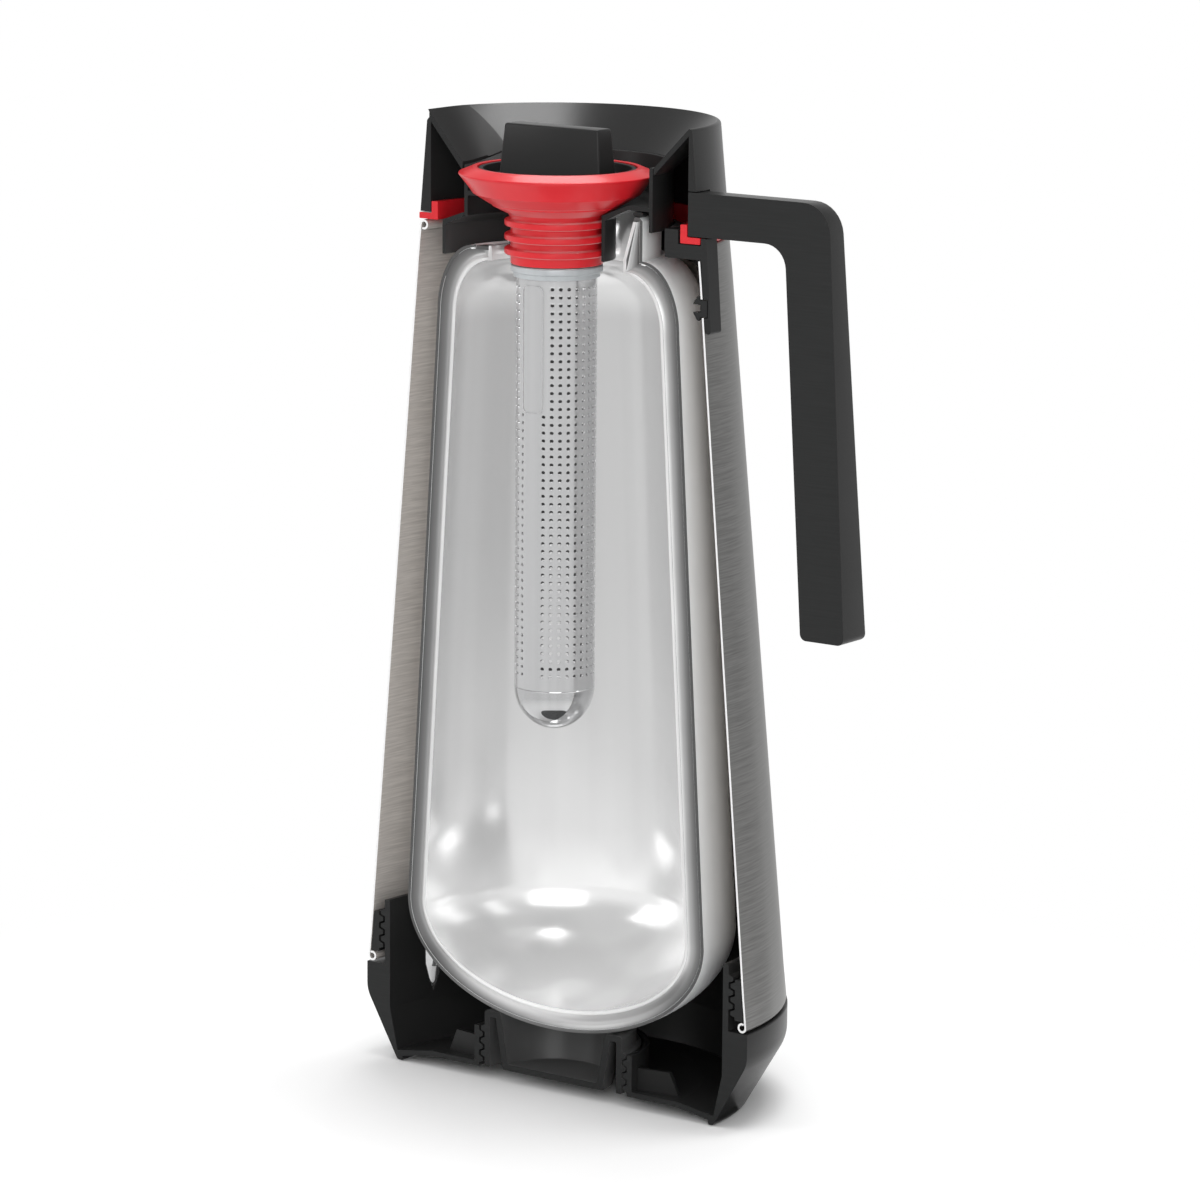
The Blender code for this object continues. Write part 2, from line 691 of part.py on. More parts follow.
def make_stopper():
    bore = RIB_ROOT - SEAL_WALL
    first_rib = seal_low + RIB_PITCH * 0.9
    ribs = []
    for i in reversed(range(RIB_COUNT)):
        middle = first_rib + i * RIB_PITCH
        ribs += [(RIB_ROOT, middle + RIB_PITCH * 0.28), (RIB_RADIUS, middle + RIB_PITCH * 0.12)]
        ribs += [(RIB_RADIUS, middle - RIB_PITCH * 0.12), (RIB_ROOT, middle - RIB_PITCH * 0.28)]
    bell_foot = first_rib + RIB_COUNT * RIB_PITCH - RIB_PITCH / 2
    bell_height = bell_top - bell_foot
    bell_flare = bell_rim - RIB_ROOT

    def bell(radius_share, height_share):
        return RIB_ROOT + bell_flare * radius_share, bell_foot + bell_height * height_share

    outside = [(bell_mouth, bell_top), bell(1, 0.87), bell(0.985, 0.83)]
    outside += [bell(0.75, 0.64), bell(0.68, 0.51), bell(0.45, 0.36), bell(0.32, 0.23), bell(0.06, 0.03)]
    bowl = bell_mouth - DISH_WALL
    shelf = bell_top - 2 * DISH_DEPTH
    throat = bell_foot + bell_height * 0.2
    inside = [(bore, seal_low), (bore, throat), (bowl, shelf), (bowl, bell_top)]
    seal = outside + ribs + [(RIB_ROOT, seal_low)] + inside
    turned_part("stopper_seal", seal, "red_silicone")

    edge = bowl - FIT_GAP
    core = [(0, dish_floor), (edge - DISH_WALL, dish_floor), (edge - DISH_WALL, bell_top - FIT_GAP)]
    core += [(edge, bell_top - FIT_GAP), (edge, shelf + FIT_GAP), (stem_radius, throat + FIT_GAP)]
    core += [(stem_radius, seal_low - STEM_LENGTH), (0, seal_low - STEM_LENGTH)]
    turned_part("stopper_core", core, "black_plastic")

    low = dish_floor + FIT_GAP
    foot_half = edge - DISH_WALL - GRIP_END_GAP
    top_half = foot_half - GRIP_END_TAPER
    shape = bmesh.new()
    bmesh.ops.create_cube(shape, size=2)
    for vertex in shape.verts:
        at_top = vertex.co.z > 0
        vertex.co.x *= top_half if at_top else foot_half
        vertex.co.y *= (GRIP_THICKNESS_TOP if at_top else GRIP_THICKNESS_FOOT) / 2
        vertex.co.z = low + (GRIP_HEIGHT if at_top else 0)
    mesh = bpy.data.meshes.new("stopper_grip")
    shape.to_mesh(mesh)
    shape.free()
    round_edges(add_part("stopper_grip", mesh, "black_plastic"), GRIP_ROUND)


def make_infuser():
    top = seal_low - FIT_GAP
    ring_low = top - INFUSER_COLLAR_RING
    bore = INFUSER_RADIUS + FIT_GAP
    collar = [(INFUSER_RADIUS + INFUSER_COLLAR_LIP, top), (INFUSER_RADIUS + INFUSER_COLLAR_LIP, ring_low)]
    collar += [(bore + INFUSER_SHEET, top - INFUSER_COLLAR_HEIGHT), (bore, top - INFUSER_COLLAR_HEIGHT)]
    collar += [(bore, ring_low), (stem_radius + FIT_GAP, ring_low), (stem_radius + FIT_GAP, top)]
    turned_part("infuser_collar", collar, "polished_steel")

    tube_top = ring_low - FIT_GAP
    tube_low = tube_top - INFUSER_TUBE
    inner = INFUSER_RADIUS - INFUSER_SHEET
    tube = [(INFUSER_RADIUS, tube_top), (INFUSER_RADIUS, tube_low), (inner, tube_low), (inner, tube_top)]
    turned_part("infuser_tube", tube, "polished_steel")

    edge = tube_low - FIT_GAP
    dome = ellipse((0, edge), INFUSER_RADIUS, INFUSER_DOME, 0, -90, 8)
    hollow = ellipse((0, edge), inner, INFUSER_DOME - INFUSER_SHEET, 0, -90, 8)
    dome[-1] = (0, dome[-1][1])
    hollow[-1] = (0, hollow[-1][1])
    turned_part("infuser_end_cap", hollow[::-1] + dome, "polished_steel")


def handle_half_width(z):
    share = (arm_top - z) / HANDLE_LENGTH
    return HANDLE_HALF_WIDTH_TOP + (HANDLE_HALF_WIDTH_FOOT - HANDLE_HALF_WIDTH_TOP) * share


def make_handle():
    root = collar_bore
    low = arm_top - HANDLE_LENGTH
    outer_top = (HANDLE_REACH_TOP, arm_top)
    outer_low = (HANDLE_REACH_FOOT, low)
    inner_low = (HANDLE_REACH_FOOT - HANDLE_BAR, low)
    inner_top = (HANDLE_REACH_TOP - HANDLE_BAR, arm_low)
    arm_end = (root, arm_low)
    outline = [(root, arm_top)] + fillet((root, arm_top), outer_top, outer_low, HANDLE_OUTER_ROUND, 6)
    outline += fillet(outer_top, outer_low, inner_low, HANDLE_END_ROUND, 3)
    outline += fillet(outer_low, inner_low, inner_top, HANDLE_END_ROUND, 3)
    outline += fillet(inner_low, inner_top, arm_end, HANDLE_INNER_ROUND, 5) + [arm_end]
    mesh = plate_mesh("handle", outline, 1)
    for vertex in mesh.vertices:
        vertex.co.y *= handle_half_width(vertex.co.z)
    handle = add_part("handle", mesh, "black_plastic")
    round_edges(handle, HANDLE_EDGE_ROUND)
    cut_open(handle)


def make_bracket(casing, neck_ring):
    """The tongue under the handle, the hook that it passes through the casing, and its snap pin."""
    top = arm_low - FIT_GAP
    tongue_low = casing_top - BRACKET_DROP
    lug_top = gasket_low - FIT_GAP
    lug_low = lug_top - BRACKET_LUG
    # The hook's flat back stands clear of the gasket's faceted bore over its whole width.
    clear_radius = gasket_bore * math.cos(math.pi / SEGMENTS)
    hook_outer = math.sqrt(clear_radius**2 - BRACKET_HALF_WIDTH**2) - FIT_GAP
    hook_inner = hook_outer - HOOK_WIDTH
    hook_top = lug_top + HOOK_RISE

    def against_casing(z):
        return casing_radius(z) + FIT_GAP

    step = casing_radius(collar_low) + GASKET_LIP + FIT_GAP
    outline = [(against_casing(tongue_low), tongue_low), (against_casing(lug_low), lug_low)]
    outline += [(hook_inner, lug_low), (hook_inner, hook_top), (hook_outer, hook_top)]
    outline += [(hook_outer, lug_top), (step, lug_top), (step, top), (step + BRACKET_THICKNESS, top)]
    outline += [(against_casing(tongue_low) + BRACKET_THICKNESS, tongue_low)]
    mesh = plate_mesh("handle_bracket", outline, BRACKET_HALF_WIDTH)
    bracket = add_part("handle_bracket", mesh, "black_plastic")

    side = BRACKET_HALF_WIDTH + FIT_GAP
    notch_low = (hook_inner - FIT_GAP, -side, lug_low - FIT_GAP)
    notch = add_cutter("bracket_notch", box_mesh("bracket_notch", notch_low, (far, side, collar_low)))
    combine(casing, "DIFFERENCE", notch)
    # The ring round the neck is open on the handle's side, where the hook reaches in.
    open_from = hook_inner - NECK_RING_OPENING
    opening = box_mesh("neck_ring_opening", (open_from, -far, lug_low - HOOK_RISE), (far, far, hook_top))
    combine(neck_ring, "DIFFERENCE", add_cutter("neck_ring_opening", opening))

    pin_height = casing_top - PIN_DROP
    seat = against_casing(pin_height)
    inside = casing_radius(pin_height + PIN_HEAD_RADIUS) - CASING_SHEET - FIT_GAP
    along_x = Matrix.Translation((0, 0, pin_height)) @ Matrix.Rotation(math.pi / 2, 4, "Y")
    hole_middle = Matrix.Translation((seat + PIN_SEAT + FIT_GAP - far / 8, 0, 0)) @ along_x
    hole_radius = PIN_RADIUS + FIT_GAP
    hole = add_cutter("pin_hole", cone_mesh("pin_hole", hole_radius, hole_radius, far / 4, hole_middle, 16))
    combine(casing, "DIFFERENCE", hole)
    combine(bracket, "DIFFERENCE", hole)
    cut_open(bracket)

    tip = inside - PIN_HEAD_LENGTH
    shank = [(0, seat + PIN_SEAT), (PIN_RADIUS, seat + PIN_SEAT), (PIN_RADIUS, inside)]
    head = [(PIN_HEAD_RADIUS, inside), (PIN_HEAD_RADIUS, inside - PIN_HEAD_LENGTH / 3)]
    head += [(PIN_TIP_RADIUS, tip), (0, tip)]
    pin = turned_part("handle_snap_pin", shank + head, "black_plastic")
    pin.matrix_world = along_x
    slot = box_mesh(
        "pin_slot",
        (inside - 2 * PIN_HEAD_LENGTH, -PIN_HEAD_RADIUS * 2, pin_height - PIN_SLOT / 2),
        (inside + FIT_GAP, PIN_HEAD_RADIUS * 2, pin_height + PIN_SLOT / 2),
    )
    combine(pin, "DIFFERENCE", add_cutter("pin_slot", slot))
    cut_open(pin)


def main():
    casing = make_casing()
    make_base()
    make_support_cup()
    make_flask()
    make_gasket()
    trough = trough_cutter("pouring_trough", 0)
    make_collar(trough)
    make_pour_insert(trough)
    neck_ring = make_neck_ring()
    make_stopper()
    make_infuser()
    make_handle()
    make_bracket(casing, neck_ring)
    cut_open(casing)
    cut_open(neck_ring)


main()
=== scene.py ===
import json
import math

import bmesh
import bpy
from mathutils import Matrix, Vector
from mathutils.geometry import intersect_point_line

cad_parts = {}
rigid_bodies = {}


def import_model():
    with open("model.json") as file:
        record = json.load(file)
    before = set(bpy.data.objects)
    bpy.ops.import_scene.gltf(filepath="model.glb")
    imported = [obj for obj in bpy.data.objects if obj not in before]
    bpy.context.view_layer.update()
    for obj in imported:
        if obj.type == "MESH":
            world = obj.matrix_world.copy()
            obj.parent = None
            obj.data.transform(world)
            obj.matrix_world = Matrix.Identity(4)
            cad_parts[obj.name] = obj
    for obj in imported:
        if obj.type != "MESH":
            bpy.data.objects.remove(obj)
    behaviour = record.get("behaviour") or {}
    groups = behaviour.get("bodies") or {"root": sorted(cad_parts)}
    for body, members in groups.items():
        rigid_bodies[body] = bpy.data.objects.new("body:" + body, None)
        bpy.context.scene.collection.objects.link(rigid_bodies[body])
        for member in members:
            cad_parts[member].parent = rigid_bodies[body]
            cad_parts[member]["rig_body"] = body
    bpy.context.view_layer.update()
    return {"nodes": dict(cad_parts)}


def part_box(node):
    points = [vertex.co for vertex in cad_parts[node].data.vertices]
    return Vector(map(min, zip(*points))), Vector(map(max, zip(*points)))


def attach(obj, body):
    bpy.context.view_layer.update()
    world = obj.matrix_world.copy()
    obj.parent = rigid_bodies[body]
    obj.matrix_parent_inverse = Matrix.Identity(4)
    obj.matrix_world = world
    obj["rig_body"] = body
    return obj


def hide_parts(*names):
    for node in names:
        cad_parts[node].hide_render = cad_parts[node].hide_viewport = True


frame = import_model()
print("frame loaded,", len(frame["nodes"]), "nodes")

mm = 0.001  # the sizes of the pieces are in millimetres
fitGap = 0.3  # between neighbouring pieces
halfTurn = 120  # steps in half a turn
fullTurn = 160  # steps in a whole turn
past = 200  # further out than any piece
hair = 0.00001  # metres; places nearer than this count as the same
weld = 0.000002  # metres; corners nearer than this are merged


def level(node, end):
    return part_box(node)[end].z / mm


casingLow = level("outer_casing", 0)
casingTop = level("outer_casing", 1)
collarLow = level("collar_shell", 0)
rimTop = level("collar_shell", 1)
flaskLip = level("flask_outer_bulb", 1)
sealLow = level("stopper_seal", 0)
bellTop = level("stopper_seal", 1)
armTop = level("handle", 1)


# Shader nodes

class Wire:
    # one output socket; sums and products of wires add Math nodes
    def __init__(self, tree, socket=None):
        self.tree = tree
        self.socket = socket

    def node(self, kind, settings=None, inputs=None, output=0):
        made = self.tree.nodes.new(kind)
        for key, value in (settings or {}).items():
            if key == "stops":
                setStops(made.color_ramp, value)
            else:
                setattr(made, key, value)
        for key, value in (inputs or {}).items():
            if isinstance(value, Wire):
                self.tree.links.new(value.socket, made.inputs[key])
            else:
                made.inputs[key].default_value = value
        return Wire(self.tree, made.outputs[output])

    def sum(self, operation, first, second):
        return self.node("ShaderNodeMath", {"operation": operation}, {0: first, 1: second})

    def __add__(self, other):
        return self.sum("ADD", self, other)

    def __radd__(self, other):
        return self.sum("ADD", other, self)

    def __sub__(self, other):
        return self.sum("SUBTRACT", self, other)

    def __mul__(self, other):
        return self.sum("MULTIPLY", self, other)


def setStops(ramp, stops):
    while len(ramp.elements) < len(stops):
        ramp.elements.new(1)
    for element, (place, colour) in zip(ramp.elements, stops):
        element.position = place
        element.color = colour


def grey(value):
    return (value, value, value, 1)


def newFinish(name, sockets):
    # a material with these constant values, its start wire and its shader
    material = bpy.data.materials.new(name)
    material.use_nodes = True
    shader = material.node_tree.nodes["Principled BSDF"]
    for key, value in sockets.items():
        shader.inputs[key].default_value = value
    return material, Wire(material.node_tree), shader


def feed(wire, shader, socket):
    wire.tree.links.new(wire.socket, shader.inputs[socket])


def mixColour(start, factor, first, second):
    # these are the colour sockets of the Mix node, which has others of the same names
    inputs = {0: factor, 6: first, 7: second}
    return start.node("ShaderNodeMix", {"data_type": "RGBA"}, inputs, output=2)


def noise(start, place, scale, detail=2.0, roughness=0.5):
    inputs = {"Vector": place, "Scale": scale, "Detail": detail, "Roughness": roughness}
    return start.node("ShaderNodeTexNoise", {}, inputs)


def objectPlace(start):
    return start.node("ShaderNodeTexCoord", output="Object")


def rayIs(start, kind):
    # 1 for rays of this kind and 0 for others
    return start.node("ShaderNodeLightPath", output=f"Is {kind} Ray")


def axisPart(start, place, axis):
    return start.node("ShaderNodeSeparateXYZ", {}, {0: place}, output=axis)


def turnCoordinates(start, around, along):
    # a place on a turned surface as angle and height, each stretched by its own factor
    place = objectPlace(start)
    x, y, z = [axisPart(start, place, axis) for axis in range(3)]
    angle = start.sum("ARCTAN2", y, x)
    return start.node("ShaderNodeCombineXYZ", {}, {0: angle * around, 1: z * along})


def share(start, value, low, high):
    # 0 at the low value and 1 at the high one, eased at both ends
    inputs = {"Value": value, "From Min": low, "From Max": high}
    return start.node("ShaderNodeMapRange", {"interpolation_type": "SMOOTHSTEP"}, inputs)


def bump(start, height, strength, distance):
    inputs = {"Height": height, "Strength": strength, "Distance": distance}
    return start.node("ShaderNodeBump", {}, inputs)


# Finishes

def paint(start, shader, look, mask, rough=None):
    # the mask mixes the two colours; the roughness follows it, or a mask of its own
    feed(mixColour(start, mask, look["dark"], look["light"]), shader, "Base Color")
    feed(look["roughness"] + (rough or mask) * look["spread"], shader, "Roughness")


def brushed(name, metallic, stretch, look, reflectionBandShare=0.0):
    # fine streaks round the axis, and broad bands of painted reflection where they have a share
    material, start, shader = newFinish(name, {"Metallic": metallic})
    lines = noise(start, turnCoordinates(start, *stretch), scale=1.0, detail=3.0, roughness=0.6)
    streaks = share(start, lines, low=0.22, high=0.78)
    mask = streaks
    if reflectionBandShare:
        reflectionBands = noise(start, turnCoordinates(start, around=2.6, along=1), scale=1.0, detail=1.0)
        mask = streaks * (1 - reflectionBandShare) + share(start, reflectionBands, low=0.3, high=0.7) * reflectionBandShare
    paint(start, shader, look, mask, streaks)
    feed(bump(start, streaks, strength=0.12, distance=0.0001), shader, "Normal")
    return material


def banded(name, metallic, stretch, look, detail=2.0):
    # soft bands that follow a turned surface
    material, start, shader = newFinish(name, {"Metallic": metallic})
    bands = noise(start, turnCoordinates(start, *stretch), scale=1.0, detail=detail)
    paint(start, shader, look, bands)
    return material


def speckled(name, sockets, scale, dark, light):
    material, start, shader = newFinish(name, sockets)
    marks = noise(start, objectPlace(start), scale)
    feed(mixColour(start, marks, grey(dark), grey(light)), shader, "Base Color")
    return material


def silveredGlass():
    # painted reflections on the silver: soft bands of painted reflection run up the wall, the shoulder is
    # painted light as a reflection and the dome carries painted patches of reflection
    look = dict(dark=grey(0.66), light=grey(0.80), shoulder=grey(0.95), roughness=0.10)
    look.update(shade=grey(0.88), cloud=grey(0.99))
    heights = dict(domeTop=0.070, domeFull=0.048, shoulderLow=0.221, shoulderFull=0.231)
    material, start, shader = newFinish("silvered_glass", {"Metallic": 0.6})
    bands = noise(start, turnCoordinates(start, around=4, along=1), scale=1.0)
    place = objectPlace(start)
    height = axisPart(start, place, 2)
    clouds = share(start, noise(start, place, scale=34.0, detail=1.0), low=0.44, high=0.56)
    dome = mixColour(start, clouds, look["shade"], look["cloud"])
    wall = mixColour(start, bands, look["dark"], look["light"])
    low = share(start, height, heights["domeTop"], heights["domeFull"])
    high = share(start, height, heights["shoulderLow"], heights["shoulderFull"])
    lower = mixColour(start, low, wall, dome)
    feed(mixColour(start, high, lower, look["shoulder"]), shader, "Base Color")
    feed(look["roughness"] + bands * 0.08 + low * 0.07, shader, "Roughness")
    return material


def silveredRim():
    # painted shade in the hollow between the glass walls: painted dark by the outer one and painted light
    # by the inner one and the dome
    sideShading = [(0.0, 0.09), (0.15, 0.10), (0.45, 0.20), (0.72, 0.42), (0.90, 0.86), (1.0, 0.62)]
    domeShading = [(0.0, 0.14), (0.15, 0.20), (0.45, 0.60), (0.72, 0.96), (0.90, 0.99), (1.0, 0.97)]
    heights = dict(side=0.036, dome=0.022)
    material, start, shader = newFinish("rim_painted_shade", {"Metallic": 0.5, "Roughness": 0.3})
    place = objectPlace(start)
    across = start.node("ShaderNodeAttribute", {"attribute_name": "across"}, output=2)
    shifted = across + noise(start, place, scale=60.0) * 0.08 - 0.04
    ramps = []
    for tones in (sideShading, domeShading):
        stops = [(at, grey(tone)) for at, tone in tones]
        ramps.append(start.node("ShaderNodeValToRGB", {"stops": stops}, {0: shifted}))
    low = share(start, axisPart(start, place, 2), heights["side"], heights["dome"])
    feed(mixColour(start, low, ramps[0], ramps[1]), shader, "Base Color")
    return material


def blackPlastic(name, tone, specular):
    # moulded plastic; tone is its mean grey
    look = dict(dark=grey(tone * 0.8), light=grey(tone * 1.2), roughness=0.26, spread=0.10)
    material, start, shader = newFinish(name, {"Specular IOR Level": specular})
    place = objectPlace(start)
    grain = noise(start, place, scale=2600.0)
    flow = noise(start, place, scale=40.0, detail=3.0)
    paint(start, shader, look, flow, grain)
    feed(bump(start, grain, strength=0.08, distance=0.00005), shader, "Normal")
    return material


def cutPlastic():
    # sawn faces are matt, with faint marks of the saw
    look = dict(dark=(0.018, 0.0185, 0.0185, 1), light=(0.028, 0.0285, 0.0285, 1))
    look.update(roughness=0.55, spread=0.1)
    material, start, shader = newFinish("cut_plastic", {"Specular IOR Level": 0.12})
    place = objectPlace(start)
    slant = start.node("ShaderNodeMapping", {}, {"Vector": place, "Scale": (60, 60, 2200)})
    marks = noise(start, slant, scale=1.0, detail=3.0)
    paint(start, shader, look, marks)
    feed(bump(start, marks, strength=0.05, distance=0.00005), shader, "Normal")
    return material


def redSilicone():
    look = dict(dark=(0.53, 0.011, 0.018, 1), light=(0.70, 0.018, 0.026, 1))
    look.update(roughness=0.26, spread=0.08, coat=0.08, coatSpread=0.12)
    constants = {"Specular IOR Level": 0.32, "Coat Roughness": 0.12}
    material, start, shader = newFinish("red_silicone", constants)
    flow = noise(start, objectPlace(start), scale=90.0, detail=3.0)
    paint(start, shader, look, flow)
    feed(look["coat"] + flow * look["coatSpread"], shader, "Coat Weight")
    return material


steelLook = dict(dark=(0.115, 0.114, 0.111, 1), light=(0.31, 0.308, 0.302, 1))
steelLook.update(roughness=0.34, spread=0.14)
steelInsideLitLook = dict(dark=(0.50, 0.465, 0.435, 1), light=(0.70, 0.66, 0.62, 1), roughness=0.5, spread=0.1)
polishLook = dict(dark=(0.46, 0.463, 0.467, 1), light=(0.62, 0.623, 0.627, 1))
polishLook.update(roughness=0.12, spread=0.06)
satinLook = dict(dark=(0.40, 0.425, 0.44, 1), light=(0.54, 0.565, 0.58, 1), roughness=0.32, spread=0.1)
outsideLitLook = dict(dark=(0.84, 0.85, 0.85, 1), light=(0.97, 0.98, 0.98, 1), roughness=0.30, spread=0.1)

steel = brushed("brushed_steel", metallic=1.0, stretch=(3.5, 1900), look=steelLook, reflectionBandShare=0.4)
# the casing's inside is a lighter, less metallic copy of the brushed steel, painted light that lifts its
# shade between the casing and the flask
steelInsideLit = brushed("steel_inside_painted_light", metallic=0.25, stretch=(4.5, 1700), look=steelInsideLitLook)
edgeSockets = {"Metallic": 0.3, "Roughness": 0.35}
steelEdge = speckled("cut_steel", edgeSockets, scale=900.0, dark=0.80, light=0.96)
mirrorLook = dict(polishLook, roughness=0.03)
bright = banded("polished_steel", metallic=0.6, stretch=(4, 1), look=polishLook)
mirror = banded("mirror_steel", metallic=0.9, stretch=(4, 1), look=mirrorLook)
satin = banded("satin_steel", metallic=0.3, stretch=(4, 60), look=satinLook)
# the inside of the infuser tube is painted dark, painted shade that keeps its holes dark
tubeSockets = {"Metallic": 0.6, "Roughness": 0.5}
tubeInsideShade = speckled("tube_inside_painted_shade", tubeSockets, scale=300.0, dark=0.03, light=0.09)
silver = silveredGlass()
# the outer bulb's outside is a near-white, non-metallic copy of the silvered glass, painted light that
# lifts its shade between the casing and the flask
silverOutsideLit = banded("silvered_outside_painted_light", metallic=0.0, stretch=(5, 6), look=outsideLitLook, detail=3.0)
silverRim = silveredRim()
black = blackPlastic("black_plastic", tone=0.020, specular=0.17)
blackGloss = blackPlastic("glossy_plastic", tone=0.012, specular=0.5)
# a lighter copy of the black plastic for the neck ring and the cup, painted light that lifts their shade
# inside the collar and the base
blackLightened = blackPlastic("plastic_painted_light", tone=0.07, specular=0.22)
blackCut = cutPlastic()
red = redSilicone()
print("finishes made")


# Outlines, as (radius, height) points

def arcPoints(center, radius, start, end, steps=12, rise=None):
    points = []
    for i in range(steps + 1):
        angle = math.radians(start + (end - start) * i / steps)
        height = (rise or radius) * math.sin(angle)
        points.append((center[0] + radius * math.cos(angle), center[1] + height))
    return points


def cornerArc(before, corner, after, radius, steps=5):
    # an arc that rounds the corner; it shrinks where a side is short
    point = Vector(corner[:2])
    back = Vector(before[:2]) - point
    ahead = Vector(after[:2]) - point
    half = back.angle(ahead) / 2
    if half > math.radians(88):  # almost straight
        return [corner[:2]]
    longest = 0.48 * min(back.length, ahead.length)
    run = min(radius / math.tan(half), longest)
    radius = run * math.tan(half)
    middle = (back.normalized() + ahead.normalized()).normalized()
    center = point + middle * radius / math.sin(half)
    first = point + back.normalized() * run - center
    last = point + ahead.normalized() * run - center
    begin = math.degrees(math.atan2(first.y, first.x))
    turn = math.degrees(math.atan2(last.y, last.x)) - begin
    turn = (turn + 180) % 360 - 180
    return arcPoints(center, radius, begin, begin + turn, steps)


def softened(points, radius, steps=3):
    # rounds each corner off the axis; a third value on a point is a radius of its own
    rounded = []
    for i, point in enumerate(points):
        own = point[2] if len(point) > 2 else radius
        if point[0] == 0 or own == 0:
            rounded.append(point[:2])
        else:
            after = points[(i + 1) % len(points)]
            rounded += cornerArc(points[i - 1], point, after, own, steps if own <= radius else 8)
    return rounded


def sheetOutline(path, thickness):
    # both faces of a sheet whose middle line is the path
    outer = []
    inner = []
    for i, point in enumerate(path):
        before = Vector(path[max(i - 1, 0)])
        along = (Vector(path[min(i + 1, len(path) - 1)]) - before).normalized()
        side = Vector((-along.y, along.x)) * thickness / 2
        outer.append((point[0] + side.x, point[1] + side.y))
        inner.append((point[0] - side.x, point[1] - side.y))
    return outer + inner[::-1]


def threadTeeth(root, tip, low, pitch, turns, tooth=1.1):
    # from top to bottom
    points = []
    for i in reversed(range(turns)):
        middle = low + (i + 0.5) * pitch
        points += [(root, middle + tooth), (tip, middle + tooth / 2)]
        points += [(tip, middle - tooth / 2), (root, middle - tooth)]
    return points


# Meshes

def turned(outline, degrees=180, steps=None):
    # spins a closed outline about the carafe's axis, from the handle's side to the lip's
    bm = bmesh.new()
    corners = [bm.verts.new((r * mm, 0, z * mm)) for r, z in outline]
    about = dict(cent=(0, 0, 0), axis=(0, 0, 1), angle=math.radians(degrees))
    if degrees == 360:
        pairs = zip(corners, corners[1:] + corners[:1])
        edges = [bm.edges.new(pair) for pair in pairs if pair[0].co.x or pair[1].co.x]
        bmesh.ops.spin(bm, geom=corners + edges, steps=steps or fullTurn, use_merge=True, **about)
    else:
        bmesh.ops.spin(bm, geom=[bm.faces.new(corners)], steps=steps or halfTurn, **about)
    bmesh.ops.remove_doubles(bm, verts=bm.verts, dist=weld)
    turnOutward(bm)
    return bm


def block(low, high):
    size = [(b - a) * mm for a, b in zip(low, high)]
    middle = [(a + b) / 2 * mm for a, b in zip(low, high)]
    place = Matrix.Translation(middle) @ Matrix.Diagonal((*size, 1))
    bm = bmesh.new()
    bmesh.ops.create_cube(bm, size=1, matrix=place)
    return bm


def cone(lowRadius, highRadius, length, place, segments=96):
    bm = bmesh.new()
    sizes = dict(radius1=lowRadius * mm, radius2=highRadius * mm, depth=length * mm)
    bmesh.ops.create_cone(bm, cap_ends=True, segments=segments, matrix=place, **sizes)
    return bm


def turnOutward(bm):
    bmesh.ops.recalc_face_normals(bm, faces=bm.faces)


def vertsIn(geom):
    return [part for part in geom if isinstance(part, bmesh.types.BMVert)]


def plate(outline, back):
    # an outline in the cut plane, made as deep as its own half width at each height
    bm = bmesh.new()
    face = bm.faces.new([bm.verts.new((x * mm, 0, z * mm)) for x, z in outline])
    made = bmesh.ops.extrude_face_region(bm, geom=[face])["geom"]
    for vertex in vertsIn(made):
        vertex.co.y = back(vertex.co.z / mm) * mm
    turnOutward(bm)
    return bm


def bevelled(bm, geom, offset, segments, affect="EDGES"):
    settings = dict(affect=affect, segments=segments, profile=0.5, material=-1)
    bmesh.ops.bevel(bm, geom=geom, offset=offset, **settings)


def meshFrom(bm, name):
    # the bmesh is used up
    mesh = bpy.data.meshes.new(name)
    bm.to_mesh(mesh)
    bm.free()
    return mesh


def placed(name, data):
    thing = bpy.data.objects.new(name, data)
    bpy.context.scene.collection.objects.link(thing)
    return thing


def joined(bm, tool, operation):
    # a Boolean of two meshes; both are used up
    first = placed("loose", meshFrom(bm, "loose"))
    second = placed("loose", meshFrom(tool, "loose"))
    modifier = first.modifiers.new("shape", "BOOLEAN")
    modifier.operation = operation
    modifier.object = second
    bpy.context.view_layer.update()
    shaped = first.evaluated_get(bpy.context.evaluated_depsgraph_get()).to_mesh()
    result = bmesh.new()
    result.from_mesh(shaped)
    for loose in (first, second):
        mesh = loose.data
        bpy.data.objects.remove(loose, do_unlink=True)
        bpy.data.meshes.remove(mesh)
    return result


def cut(bm, tool):
    return joined(bm, tool, "DIFFERENCE")


def addMesh(bm, other):
    # adds a separate mesh to this one; the other is used up
    mesh = meshFrom(other, "loose")
    bm.from_mesh(mesh)
    bpy.data.meshes.remove(mesh)


def onCut(face):
    return abs(face.calc_center_median().y) < hair and face.normal.y < -0.99


def cutSide(face):
    return 1 if onCut(face) else 0


def facesAxis(face):
    middle = face.calc_center_median()
    return face.normal.x * middle.x + face.normal.y * middle.y < 0


def addPiece(name, bm, node, finishes, pick=None, sharp=35, mirrored=True):
    # puts the mesh in the place of a CAD node, on the same body
    bm.normal_update()
    for face in bm.faces:
        face.material_index = pick(face) if pick else 0
    openEdges = sum(1 for edge in bm.edges if len(edge.link_faces) != 2)
    mesh = meshFrom(bm, name)
    for finish in finishes:
        mesh.materials.append(finish)
    mesh.shade_smooth()
    mesh.set_sharp_from_angle(angle=math.radians(sharp))
    piece = placed(name, mesh)
    piece.visible_glossy = mirrored
    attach(piece, frame["nodes"][node]["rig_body"])
    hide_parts(node)
    if openEdges:
        print(name, "has", openEdges, "open edges")


def addSawn(name, bm, node, plastic=black):
    # a piece of plastic with its cut faces
    addPiece(name, bm, node, [plastic, blackCut], cutSide)


# Casing

casing = dict(footRadius=67.6, topRadius=48.6, sheet=0.6, hem=1.45)


